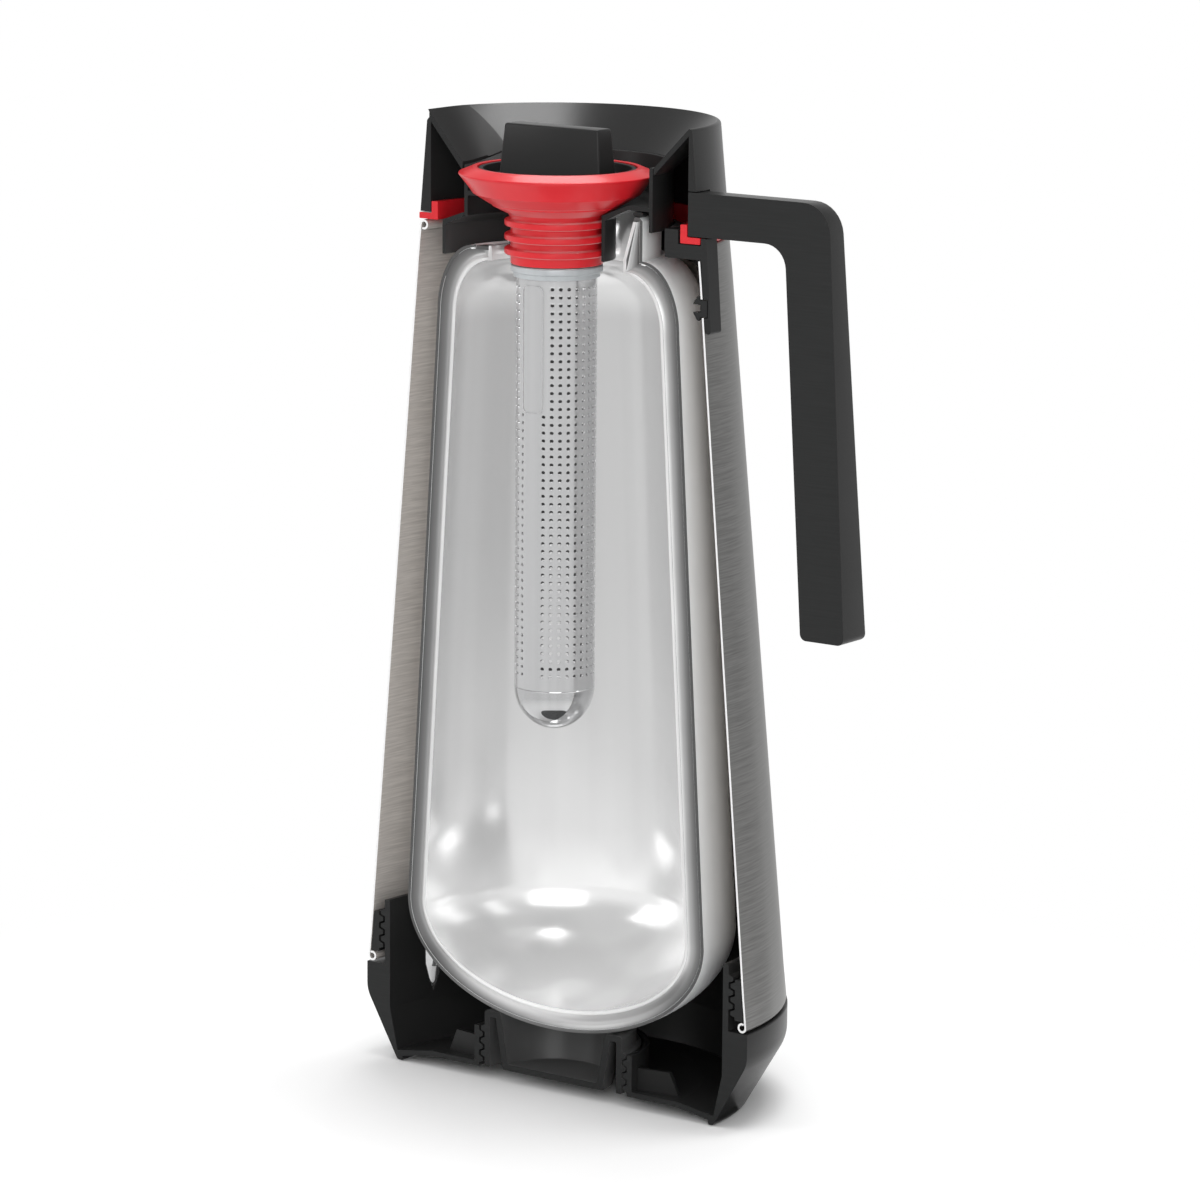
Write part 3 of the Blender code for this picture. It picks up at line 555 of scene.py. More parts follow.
def casingRadius(z):
    along = (z - casingLow) / (casingTop - casingLow)
    return casing["footRadius"] + (casing["topRadius"] - casing["footRadius"]) * along


threadRing = dict(wall=1.8, depth=1.5, pitch=4.0, turns=3, clearance=0.7)
threadLow = casingLow + 2 * casing["hem"] + fitGap
threadTop = threadLow + threadRing["turns"] * threadRing["pitch"]
ringRoot = casingRadius(threadTop) - casing["sheet"] - fitGap - threadRing["wall"]

bracket = dict(halfWidth=5.2, thickness=1.8, drop=24.4, lug=4.0)
bracket.update(hookOuter=41.4, hookWidth=4.5, hookRise=4.0)
pin = dict(drop=17.4, radius=2.3, tip=1.4, head=3.5, headLength=2.1, slot=2.2, seat=1.0)
lugTop = casingTop
lugLow = lugTop - bracket["lug"]
hookInner = bracket["hookOuter"] - bracket["hookWidth"]
pinHeight = casingTop - pin["drop"]
alongX = Matrix.Translation((0, 0, pinHeight * mm)) @ Matrix.Rotation(math.pi / 2, 4, "Y")


def casingSide(face):
    if onCut(face):
        return 2
    return 1 if facesAxis(face) else 0


def makeCasing():
    hem = casing["hem"]
    roll = hem - casing["sheet"] / 2
    top = (casing["topRadius"] - hem, casingTop - hem)
    low = (casing["footRadius"] - hem, casingLow + hem)
    rows = 24
    wall = []
    for i in range(1, rows):
        z = top[1] + (low[1] - top[1]) * i / rows
        wall.append((casingRadius(z) - casing["sheet"] / 2, z))
    path = arcPoints(top, roll, 300, 0, steps=28) + wall + arcPoints(low, roll, 0, -300, steps=28)
    bm = turned(sheetOutline(path, casing["sheet"]))
    side = bracket["halfWidth"] + fitGap
    notch = block((hookInner - fitGap, -side, lugLow - fitGap), (past, side, collarLow))
    bm = cut(bm, notch)
    hole = pin["radius"] + fitGap
    atWall = Matrix.Translation((casingRadius(pinHeight) * mm, 0, 0))
    bm = cut(bm, cone(hole, hole, length=40, place=atWall @ alongX, segments=32))
    addPiece("casing_sheet", bm, "outer_casing", [steel, steelInsideLit, steelEdge], casingSide)


def makeThreadRing():
    face = [(casingRadius(z) - casing["sheet"] - fitGap, z) for z in (threadTop, threadLow)]
    tip = ringRoot - threadRing["depth"]
    teeth = threadTeeth(ringRoot, tip, threadLow, threadRing["pitch"], threadRing["turns"])
    outline = face + [(ringRoot, threadLow)] + teeth[::-1] + [(ringRoot, threadTop)]
    bm = turned(softened(outline, 0.2))
    addSawn("casing_thread", bm, "casing_thread_ring")


# Base and the cup in it

base = dict(height=28.45, lip=0.4, rimDepth=8.8, wall=1.9, wallRise=4.1, soft=0.3)
foot = dict(radius=56.7, width=1.8, depth=1.3, edge=1.2)
floorPlate = dict(radius=44.0, low=3.2, thickness=1.5)
gusset = dict(reach=13.5, height=6.5, thickness=1.4, angles=(8, 90, 172))
cup = dict(radius=24.5, wall=1.8, foot=17.8, rim=5.8, rimRound=0.9, threadDepth=1.3, pitch=3.8, turns=3)
sleeve = dict(wall=1.7, height=10.8)
flask = dict(bottom=18.7, radius=52.8, shoulder=12.8, neck=29.4)
flask.update(dome=32.0, shoulderRise=20.0, neckHeight=12.2)
glass = dict(wall=1.0, gap=4.5, lip=3.2, mouthCut=12.0, cutDepth=12.0, liningCut=22.0)
rim = dict(lip=0.37, depth=0.8, sheet=0.35, overlap=0.1, start=0.15, end=0.85, rows=9, reach=4.0)
exhaustTip = dict(x=-46.5, y=4.2, radius=2.7, length=15.0, within=50)
# shares of the tip's radius and length, and the rounding, from the glass down
tipSteps = [(0, 0, 0), (1, 0, 0), (0.95, 0.45, 3), (0.5, 0.75, 3), (0, 1, 0)]
sleeveRoot = cup["radius"] + cup["threadDepth"] + threadRing["clearance"]


def domeHeight(r):
    return flask["bottom"] + flask["dome"] * (1 - math.sqrt(1 - (r / flask["radius"]) ** 2))


def makeBase():
    outer = casing["footRadius"] + base["lip"]
    rimLow = base["height"] - base["rimDepth"]
    footInner = foot["radius"] - foot["width"]
    floorTop = floorPlate["low"] + floorPlate["thickness"]
    wallTop = threadTop + base["wallRise"]
    tip = ringRoot - threadRing["clearance"]
    root = tip - threadRing["depth"]
    bore = root - base["wall"]
    sleeveTop = floorTop + sleeve["height"]
    sleeveOuter = sleeveRoot + sleeve["wall"]
    cupLow = floorPlate["low"] + fitGap
    innerTip = sleeveRoot - cup["threadDepth"]
    outline = [(root, wallTop)]
    pitch = threadRing["pitch"]
    outline += threadTeeth(root, tip, threadLow + pitch / 2, pitch, threadRing["turns"])
    outline += [(root, base["height"]), (outer, base["height"]), (outer, rimLow, base["rimDepth"])]
    outline += [(foot["radius"], 0, foot["edge"]), (footInner, 0), (footInner, foot["depth"])]
    outline += [(floorPlate["radius"], floorPlate["low"]), (sleeveRoot, floorPlate["low"])]
    outline += threadTeeth(sleeveRoot, innerTip, cupLow, cup["pitch"], cup["turns"])[::-1]
    outline += [(sleeveRoot, sleeveTop), (sleeveOuter, sleeveTop), (sleeveOuter, floorTop)]
    footTop = foot["depth"] + floorPlate["thickness"]
    outline += [(floorPlate["radius"], floorTop), (foot["radius"], footTop)]
    outline += [(bore, rimLow - base["rimDepth"] / 2), (bore, wallTop)]
    bm = turned(softened(outline, base["soft"]))
    start = sleeveRoot + sleeve["wall"] / 2
    end = sleeveOuter + gusset["reach"]
    sunk = floorTop - floorPlate["thickness"] / 2
    top = floorTop + gusset["height"]
    for angle in gusset["angles"]:
        shape = [(start, sunk), (end, sunk), (end - gusset["height"] / 2, top), (start, top)]
        rib = plate(shape, lambda z: gusset["thickness"])
        bmesh.ops.translate(rib, verts=rib.verts, vec=(0, -gusset["thickness"] / 2 * mm, 0))
        turn = Matrix.Rotation(math.radians(angle), 3, "Z")
        bmesh.ops.rotate(rib, verts=rib.verts, cent=(0, 0, 0), matrix=turn)
        bm = joined(bm, rib, "UNION")
    addSawn("base_moulding", bm, "base_shell")


def makeCup():
    low = floorPlate["low"] + fitGap
    inner = cup["radius"] - cup["rim"]
    top = domeHeight(inner) - fitGap
    floorTop = low + cup["wall"]
    bore = cup["radius"] - cup["wall"]
    tip = cup["radius"] + cup["threadDepth"]
    outline = [(0, floorTop), (cup["foot"] - cup["wall"], floorTop)]
    outline += [(inner, top, cup["rimRound"]), (cup["radius"], top, cup["rimRound"])]
    outline += threadTeeth(cup["radius"], tip, low + cup["pitch"] / 2, cup["pitch"], cup["turns"])
    outline += [(cup["radius"], low), (bore, low), (bore, top - cup["wall"])]
    outline += [(inner + cup["wall"], top - cup["wall"]), (cup["foot"], low), (0, low)]
    bm = turned(softened(outline, 0.25))
    addSawn("cup_moulding", bm, "flask_support_cup", blackLightened)


# Flask

def bulbSide(inset, neckTop):
    # one glass surface from the neck down to the axis, this far inside the flask's outside
    shoulderLow = flaskLip - flask["neckHeight"] - flask["shoulderRise"]
    neck = flask["neck"] - inset
    rise = flask["shoulderRise"] - inset * 0.6
    middle = (0, flask["bottom"] + flask["dome"])
    side = [(neck, neckTop)]
    side += arcPoints((neck, shoulderLow), flask["shoulder"], 90, 0, steps=28, rise=rise)
    top = Vector(side[-1])
    low = Vector((flask["radius"] - inset, middle[1]))
    rows = 12
    side += [tuple(top.lerp(low, i / rows)) for i in range(1, rows)]
    side += arcPoints(middle, flask["radius"] - inset, 0, -90, steps=40, rise=flask["dome"] - inset)
    side[-1] = (0, side[-1][1])
    return side


def mouthWindow(offset):
    return block((-past, -past, flaskLip - glass["cutDepth"]), (-offset, past, rimTop))


def insetFrom(path, point):
    # the shortest way from a point to a path
    distances = []
    for a, b in zip(path, path[1:]):
        along = intersect_point_line(point, Vector(a), Vector(b))[1]
        closest = Vector(a).lerp(Vector(b), min(max(along, 0), 1))
        distances.append((point - closest).length)
    return min(distances)


def markAcross(bm, limit, near, far):
    # how far across the rim a corner of the cut lies, for the rim's painted shade
    across = bm.verts.layers.float.new("across")
    outside = bulbSide(0, flaskLip)
    for vertex in bm.verts:
        if abs(vertex.co.y) < hair:
            point = Vector((abs(vertex.co.x), vertex.co.z)) / mm
            vertex[across] = far if insetFrom(outside, point) > limit else near


def rimHollow():
    # closes the gap between the glass walls with a shallow gutter just behind the cut, which carries the
    # rim's painted shade
    wall = glass["wall"]
    overlap = rim["overlap"]
    outer = bulbSide(wall - overlap, flaskLip - wall)
    inner = bulbSide(wall + glass["gap"] + overlap, flaskLip - wall)
    inner[0] = (flask["neck"] - glass["lip"] + wall - overlap, flaskLip - wall - fitGap)
    windowLow = flaskLip - glass["cutDepth"]
    skipped = sum(1 for r, z in outer if z > windowLow)
    bm = bmesh.new()
    across = bm.verts.layers.float.new("across")
    for side, first in ((1, 0), (-1, skipped)):
        edges = []
        for path, value in ((outer[first:], rim["start"]), (inner[first:], rim["end"])):
            if first:
                path.insert(0, (path[0][0], windowLow - fitGap))
            corners = [bm.verts.new((side * r * mm, 0, z * mm)) for r, z in path]
            for corner in corners:
                corner[across] = value
            edges += [bm.edges.new(pair) for pair in zip(corners, corners[1:])]
        bmesh.ops.bridge_loops(bm, edges=edges)
    bmesh.ops.remove_doubles(bm, verts=bm.verts, dist=weld)
    crossing = [edge for edge in bm.edges if abs(edge.verts[0][across] - edge.verts[1][across]) > 0.5]
    bmesh.ops.subdivide_edges(bm, edges=crossing, cuts=rim["rows"], use_grid_fill=True)
    for vertex in bm.verts:
        along = (vertex[across] - rim["start"]) / (rim["end"] - rim["start"])
        vertex.co.y = (rim["lip"] + rim["depth"] * math.sin(math.pi * along)) * mm
    turnOutward(bm)
    bmesh.ops.solidify(bm, geom=bm.faces[:], thickness=rim["sheet"] * mm)
    turnOutward(bm)
    return bm


def outerSide(face):
    middle = face.calc_center_median()
    point = Vector((math.hypot(middle.x, middle.y), middle.z)) / mm
    inGap = middle.y < rim["reach"] * mm and point.y > domeHeight(min(point.x, flask["radius"]))
    if onCut(face) or inGap and insetFrom(bulbSide(0, flaskLip), point) > 1.05 * glass["wall"]:
        return 1
    onTip = point.x < exhaustTip["within"] and point.y < domeHeight(point.x) - fitGap
    return 2 if onTip else 0


def makeFlask():
    lipBore = flask["neck"] - glass["lip"]
    wall = glass["wall"]
    innerOutside = wall + glass["gap"]
    edge = [(lipBore, flaskLip - wall), (lipBore + wall / 2, flaskLip), (flask["neck"] - wall, flaskLip)]
    outline = bulbSide(wall, flaskLip - wall)[::-1] + edge + bulbSide(0, flaskLip - wall)
    bm = turned(outline)
    tipTop = domeHeight(math.hypot(exhaustTip["x"], exhaustTip["y"])) + wall
    drop = []
    for out, down, soft in tipSteps:
        drop.append((exhaustTip["radius"] * out, -exhaustTip["length"] * down, soft))
    tip = turned(softened(drop, 0), 360, steps=32)
    tipPlace = Vector((exhaustTip["x"], exhaustTip["y"], tipTop)) * mm
    bmesh.ops.translate(tip, verts=tip.verts, vec=tipPlace)
    bm = cut(joined(bm, tip, "UNION"), mouthWindow(glass["mouthCut"]))
    markAcross(bm, wall / 2, 0.0, rim["start"])
    addMesh(bm, rimHollow())
    lidTop = flaskLip - glass["cutDepth"] - fitGap
    lidLow = lidTop - wall
    lidRadius = flask["neck"] - wall + rim["overlap"]
    lidBore = flask["neck"] - innerOutside - rim["overlap"]
    lid = turned([(lidRadius, lidTop), (lidRadius, lidLow), (lidBore, lidLow), (lidBore, lidTop)])
    pouringSide = block((-past, rim["overlap"], 0), (-glass["mouthCut"], past, 2 * past))
    addMesh(bm, joined(lid, pouringSide, "INTERSECT"))
    addPiece("outer_bulb_wall", bm, "flask_outer_bulb", [silverOutsideLit, silverRim, mirror], outerSide)

    bend = flaskLip - flask["neckHeight"]
    flare = flaskLip - wall - fitGap
    edge = [(lipBore, flare), (lipBore + wall, flare)]
    outline = bulbSide(innerOutside + wall, bend)[::-1] + edge + bulbSide(innerOutside, bend)
    bm = cut(turned(outline), mouthWindow(glass["liningCut"]))
    markAcross(bm, innerOutside + wall / 2, rim["end"], 1.0)
    addPiece("inner_bulb_wall", bm, "flask_inner_bulb", [silver, silverRim], cutSide)


# Gasket, collar and neck

gasket = dict(flange=1.8, lip=0.4, leg=2.2, legHeight=5.2)
collar = dict(wall=1.16, rimRound=1.1, funnelWidth=12.85, funnelDepth=11.7, funnelWall=1.4)
trough = dict(offset=14.0, lipDrop=0.35, depth=3.2, wall=2.5, rise=30, point=0.02)
groove = dict(top=0.6, height=3.0, depth=1.0, halfWidth=13.5)
insert = dict(wall=1.2, skirt=4.0, throatInset=1.9, coneDrop=3.5, sleeve=11.7, sleeveBore=15.4)
neckRing = dict(wall=1.2, inset=1.7, rise=0.5, grip=0.9, opening=5.9)
mouthSeal = dict(height=1.2)
collarBore = casingRadius(rimTop) - collar["wall"]
gasketBore = collarBore - fitGap - gasket["leg"]
funnelMouth = casingRadius(rimTop) - collar["funnelWidth"]
funnelLow = rimTop - collar["funnelDepth"]
insertRadius = funnelMouth - fitGap
insertBore = insertRadius - insert["wall"]
webLow = flaskLip + mouthSeal["height"] + 2 * fitGap


def makeGasket():
    low = casingTop + fitGap
    flangeTop = low + gasket["flange"]
    edge = casingRadius(collarLow) + gasket["lip"]
    legTop = low + gasket["legHeight"]
    legOuter = collarBore - fitGap
    outline = [(legOuter, legTop), (legOuter, flangeTop), (edge, flangeTop), (edge, low)]
    outline += [(gasketBore, low), (gasketBore, legTop)]
    addPiece("gasket_ring", turned(softened(outline, 0.25)), "collar_gasket", [red])


def funnelHeight(r, depth=0.0):
    high = casingRadius(rimTop) - collar["rimRound"]
    slope = collar["funnelDepth"] / (high - funnelMouth)
    return rimTop - (high - r) * slope - depth * math.hypot(1, slope)


def troughCone(drop):
    lipRadius = casingRadius(rimTop) - groove["depth"] / 3
    lipEnd = (lipRadius - trough["offset"], rimTop - trough["lipDrop"] - drop)
    mouthEnd = (funnelMouth - trough["offset"], funnelLow - trough["depth"] - drop)
    flare = (lipEnd[0] - mouthEnd[0]) / (lipEnd[1] - mouthEnd[1])
    apex = mouthEnd[1] - mouthEnd[0] / flare
    top = rimTop + trough["rise"]
    place = Matrix.Translation(Vector((-trough["offset"], 0, (apex + top) / 2)) * mm)
    return cone(trough["point"], (top - apex) * flare, top - apex, place, segments=256)


def collarSide(face):
    # the funnel is glossier than the trough in it
    if onCut(face):
        return 1
    middle = face.calc_center_median() / mm
    aboveFunnel = middle.z - funnelHeight(math.hypot(middle.x, middle.y))
    return 2 if face.normal.z > 0.3 and abs(aboveFunnel) < 0.1 else 0


def makeCollar():
    lowRadius = casingRadius(collarLow)
    highRadius = casingRadius(rimTop)
    rimCenter = (highRadius - collar["rimRound"], rimTop - collar["rimRound"])
    underMouth = (funnelMouth, funnelHeight(funnelMouth, collar["funnelWall"]))
    underWall = (collarBore, funnelHeight(collarBore, collar["funnelWall"]))
    outline = arcPoints(rimCenter, collar["rimRound"], 90, 0, 8)
    outline += [(lowRadius, collarLow), (collarBore, collarLow)]
    outline += [underWall, underMouth, (funnelMouth, funnelLow)]
    bm = turned(outline)

    outer = collarBore + collar["wall"] / 2
    inner = funnelMouth + collar["funnelWall"] / 4
    low = underMouth[1] - trough["depth"] - trough["wall"]
    shape = [(outer, funnelHeight(outer, collar["funnelWall"] / 2)), (outer, low), (inner, low)]
    shape += [(inner, funnelHeight(inner, collar["funnelWall"] / 2))]
    wall = joined(turned(shape), troughCone(trough["wall"]), "INTERSECT")
    bm = cut(joined(bm, wall, "UNION"), troughCone(0))

    top = rimTop - groove["top"]
    bottom = top - groove["height"]
    shape = [(lowRadius, top), (lowRadius, bottom), (casingRadius(bottom), bottom)]
    shape += [(highRadius - groove["depth"], top - groove["height"] / 2, 0.6)]
    shape += [(highRadius - groove["depth"] / 3, top)]
    drip = turned(softened(shape, 0))
    half = groove["halfWidth"]
    drip = joined(drip, block((-past, -half, bottom - half), (0, half, rimTop + half)), "INTERSECT")
    bm = cut(bm, drip)
    side = handleHalfWidth(collarLow) + fitGap
    bm = cut(bm, block((0, -side, collarLow - side), (past, side, armTop + fitGap)))
    finishes = [black, blackCut, blackGloss]
    addPiece("collar_moulding", bm, "collar_shell", finishes, collarSide, sharp=14)


def makeInsert():
    throat = flask["neck"] - glass["lip"] - insert["throatInset"]
    webTop = webLow + insert["wall"]
    bore = insert["sleeveBore"]
    outer = bore + insert["wall"]
    coneLow = webLow - insert["coneDrop"]
    skirtLow = flaskLip - insert["skirt"]
    outline = [(insertRadius, funnelLow), (insertRadius, skirtLow), (insertBore, skirtLow)]
    sleeveLow = coneLow - insert["sleeve"]
    outline += [(insertBore, webLow), (throat, webLow), (outer, coneLow), (outer, sleeveLow)]
    outline += [(bore, sleeveLow), (bore, coneLow + insert["wall"]), (throat, webTop)]
    outline += [(insertBore, webTop), (insertBore, funnelLow)]
    bm = cut(turned(softened(outline, 0.2)), troughCone(0))
    addSawn("insert_moulding", bm, "pour_insert")


def makeNeckRing():
    radius = gasketBore - neckRing["inset"]
    bore = radius - neckRing["wall"]
    top = casingTop + neckRing["rise"]
    low = level("neck_ring", 0)
    throat = insertRadius + fitGap
    grip = flaskLip - insert["skirt"] + neckRing["grip"]
    outline = [(throat, grip), (radius, top), (radius, low), (bore, low)]
    outline += [(bore, top - neckRing["wall"]), (throat, grip - neckRing["wall"])]
    opening = block((hookInner - neckRing["opening"], -past, 0), (past, past, 2 * past))
    bm = cut(turned(softened(outline, 0.2)), opening)
    addSawn("neck_ring_moulding", bm, "neck_ring", blackLightened)


def makeMouthSeal():
    low = flaskLip + fitGap
    lipBore = flask["neck"] - glass["lip"]
    high = low + mouthSeal["height"]
    outline = [(flask["neck"], high), (flask["neck"], low), (lipBore, low), (lipBore, high)]
    bm = cut(turned(softened(outline, 0.5, 4)), mouthWindow(glass["mouthCut"]))
    addSawn("mouth_bead", bm, "mouth_seal")


# Stopper

ribs = dict(radius=14.85, root=13.1, pitch=4.0, count=3, first=0.9, soft=0.45)
bell = dict(rim=28.0, mouth=23.8, wall=3.3, throat=0.2, dishDepth=2.1, dishWall=1.3, stem=6.3)
grip = dict(endGap=3.4, endTaper=1.3, topHalf=3.3, footHalf=4.2, height=14.6, soft=0.7)
# shares of the bell's width and height, and the rounding, from the rim down
bellSteps = [(1, 0.87, 0.5), (0.97, 0.82, 0.3), (0.85, 0.66, 0.6), (0.72, 0.46, 1.2), (0.41, 0.25, 0.4)]
bellSteps += [(0.37, 0.235, 0.25), (0.35, 0.20, 0.25), (0.22, 0.125, 0.8), (0.055, 0.04, 0.5)]


def makeStopper():
    root = ribs["root"]
    bore = root - bell["wall"]
    firstRib = sealLow + ribs["pitch"] * ribs["first"]
    bellFoot = firstRib + ribs["count"] * ribs["pitch"] - ribs["pitch"] / 2
    bellHeight = bellTop - bellFoot
    flare = bell["rim"] - root
    outline = [(bell["mouth"], bellTop, 0.4)]
    for out, up, soft in bellSteps:
        outline.append((root + flare * out, bellFoot + bellHeight * up, soft))
    ribSteps = [(0.30, root), (0.20, ribs["radius"]), (-0.20, ribs["radius"]), (-0.30, root)]
    for i in reversed(range(ribs["count"])):
        middle = firstRib + i * ribs["pitch"]
        for up, radius in ribSteps:
            outline.append((radius, middle + ribs["pitch"] * up, ribs["soft"]))
    bowl = bell["mouth"] - bell["dishWall"]
    shelf = bellTop - 2 * bell["dishDepth"]
    throat = bellFoot + bellHeight * bell["throat"]
    outline += [(root, sealLow), (bore, sealLow), (bore, throat), (bowl, shelf), (bowl, bellTop)]
    bm = turned(softened(outline, 0.2, 4), 360)
    addPiece("stopper_bell", bm, "stopper_seal", [red], mirrored=False)

    edge = bowl - fitGap
    dish = edge - bell["dishWall"]
    stem = bore - fitGap
    stemLow = sealLow - bell["stem"]
    dishTop = bellTop - fitGap
    dishFloor = bellTop - bell["dishDepth"] - bell["dishWall"]
    outline = [(0, dishFloor), (dish, dishFloor, 0.8), (dish, dishTop), (edge, dishTop)]
    outline += [(edge, shelf + fitGap), (stem, throat + fitGap), (stem, stemLow), (0, stemLow)]
    bm = turned(softened(outline, 0.25), 360)
    addPiece("stopper_dish", bm, "stopper_core", [black], mirrored=False)

    footHalf = dish - grip["endGap"]
    bm = bmesh.new()
    bmesh.ops.create_cube(bm, size=2)
    for vertex in bm.verts:
        top = vertex.co.z > 0
        vertex.co.x *= (footHalf - (grip["endTaper"] if top else 0)) * mm
        vertex.co.y *= (grip["topHalf"] if top else grip["footHalf"]) * mm
        vertex.co.z = (dishFloor + fitGap + (grip["height"] if top else 0)) * mm
    bevelled(bm, bm.edges[:], grip["soft"] * mm, 4)
    addPiece("stopper_finger_grip", bm, "stopper_grip", [black], mirrored=False)


# Infuser

infuser = dict(radius=11.5, sheet=0.5, dome=12.4)
infuser.update(collarLip=1.6, collarHeight=3.4, collarRing=1.3, collarStep=0.3)
holes = dict(columns=30, rows=50, firstRow=125.3, lastRow=236.1, inset=0.64, corner=0.30, largest=1.3)
panel = dict(low=200.9, high=236.9, halfAngle=17.0, corner=1.6, ridge=0.6, rise=0.25)


def tubeSide(face):
    middle = face.calc_center_median()
    # the raised panel frame takes the light cut-steel finish, a painted highlight that outlines it
    if math.hypot(middle.x, middle.y) > (infuser["radius"] + panel["rise"] / 3) * mm:
        return 2
    # faces towards the axis take the tube's painted shade
    return 1 if facesAxis(face) else 0


def makeInfuser():
    top = sealLow - fitGap
    ringLow = top - infuser["collarRing"]
    bore = infuser["radius"] + fitGap
    stem = ribs["root"] - bell["wall"]
    lipRadius = infuser["radius"] + infuser["collarLip"]
    low = top - infuser["collarHeight"]
    under = ringLow - infuser["sheet"]
    outer = bore + infuser["sheet"]
    outline = [(lipRadius, top, 0.5), (lipRadius, under, 0.8), (outer, under - infuser["collarStep"])]
    outline += [(outer, low), (bore, low), (bore, ringLow), (stem, ringLow), (stem, top)]
    bm = turned(softened(outline, 0.25), 360)
    addPiece("infuser_neck", bm, "infuser_collar", [satin], mirrored=False)

    bm = perforatedTube()
    finishes = [bright, tubeInsideShade, steelEdge]
    addPiece("infuser_sleeve", bm, "infuser_tube", finishes, tubeSide, sharp=50, mirrored=False)

    edge = level("infuser_end_cap", 1)
    inner = infuser["radius"] - infuser["sheet"]
    dome = arcPoints((0, edge), infuser["radius"], 0, -90, 24, infuser["dome"])
    hollow = arcPoints((0, edge), inner, 0, -90, 24, infuser["dome"] - infuser["sheet"])
    dome[-1] = (0, dome[-1][1])
    hollow[-1] = (0, hollow[-1][1])
    bm = turned(hollow[::-1] + dome, 360)
    addPiece("infuser_tip", bm, "infuser_end_cap", [mirror], mirrored=False)


def perforatedTube():
    # the sheet is laid out flat, punched and then rolled; its seam faces the cut
    low = level("infuser_tube", 0)
    high = level("infuser_tube", 1)
    columnWidth = 2 * math.pi * infuser["radius"] / holes["columns"]
    rowHeight = (holes["lastRow"] - holes["firstRow"]) / (holes["rows"] - 1)
    fieldLow = holes["firstRow"] - rowHeight / 2
    fieldHigh = holes["lastRow"] + rowHeight / 2
    bm = bmesh.new()
    halfRound = holes["columns"] * columnWidth / 2
    place = Matrix.Translation((halfRound, (fieldLow + fieldHigh) / 2, 0))
    size = Matrix.Diagonal((halfRound, (fieldHigh - fieldLow) / 2, 1, 1))
    cells = dict(x_segments=holes["columns"], y_segments=holes["rows"])
    bmesh.ops.create_grid(bm, size=1, matrix=place @ size, **cells)
    punched = []
    for face in bm.faces:
        column = int(face.calc_center_median().x / columnWidth)
        fromSeam = min(column, holes["columns"] - 1 - column)
        underPanel = fromSeam == 1 and face.calc_center_median().y > panel["low"]
        if fromSeam > 0 and not underPanel:
            punched.append(face)
    bmesh.ops.inset_individual(bm, faces=punched, thickness=holes["inset"], use_even_offset=True)
    corners = list({vertex for face in punched for vertex in face.verts})
    bevelled(bm, corners, holes["corner"], 1, "VERTICES")
    # a cell with its four corners cut off has eight
    centers = [face for face in bm.faces if len(face.verts) == 8 and face.calc_area() < holes["largest"]]
    bmesh.ops.delete(bm, geom=centers, context="FACES")
    for at, step in ((fieldHigh, high - fieldHigh), (fieldLow, low - fieldLow)):
        edges = [edge for edge in bm.edges if all(abs(v.co.y - at) < 0.001 for v in edge.verts)]
        made = bmesh.ops.extrude_edge_only(bm, edges=edges)["geom"]
        bmesh.ops.translate(bm, verts=vertsIn(made), vec=(0, step, 0))
    print("holes punched:", len(centers))
    rollUp(bm)
    bmesh.ops.remove_doubles(bm, verts=bm.verts, dist=hair)
    turnOutward(bm)
    bmesh.ops.solidify(bm, geom=bm.faces[:], thickness=infuser["sheet"] * mm)
    turnOutward(bm)
    addMesh(bm, panelRidge())
    return bm


def rollUp(bm):
    # bends a flat sheet, in millimetres, round the tube
    for vertex in bm.verts:
        angle = vertex.co.x / infuser["radius"] - math.pi / 2
        radius = infuser["radius"] + vertex.co.z
        vertex.co = Vector((radius * math.cos(angle), radius * math.sin(angle), vertex.co.y))
    bmesh.ops.scale(bm, verts=bm.verts, vec=(mm, mm, mm))


def panelRidge():
    # the raised frame of the plain panel
    half = math.radians(panel["halfAngle"]) * infuser["radius"]
    low = panel["low"]
    high = panel["high"]
    outline = softened([(-half, low), (half, low), (half, high), (-half, high)], panel["corner"], 8)
    bm = bmesh.new()
    face = bm.faces.new([bm.verts.new((x, z, -infuser["sheet"] / 2)) for x, z in outline])
    settings = dict(thickness=panel["ridge"], use_boundary=True, use_even_offset=True)
    bmesh.ops.inset_region(bm, faces=[face], **settings)
    bmesh.ops.delete(bm, geom=[face], context="FACES_ONLY")
    raised = set(vertsIn(bmesh.ops.extrude_face_region(bm, geom=bm.faces[:])["geom"]))
    for vertex in raised:
        vertex.co.z = panel["rise"]
    edges = [edge for edge in bm.edges if edge.verts[0] in raised and edge.verts[1] in raised]
    edges = [edge for edge in edges if any(face.normal.z < 0.5 for face in edge.link_faces)]
    turnOutward(bm)
    bevelled(bm, edges, panel["ridge"] * 0.3, 3)
    rollUp(bm)
    turnOutward(bm)
    return bm


# Handle, its tongue and the pin

handle = dict(reachTop=91.2, reachFoot=98.1, bar=14.3, halfTop=7.0, halfFoot=11.9)
handle.update(outerRound=9.0, innerRound=7.0, endRound=2.0, soft=0.9)


def handleHalfWidth(z):
    along = (armTop - z) / (armTop - level("handle", 0))
    return handle["halfTop"] + (handle["halfFoot"] - handle["halfTop"]) * along


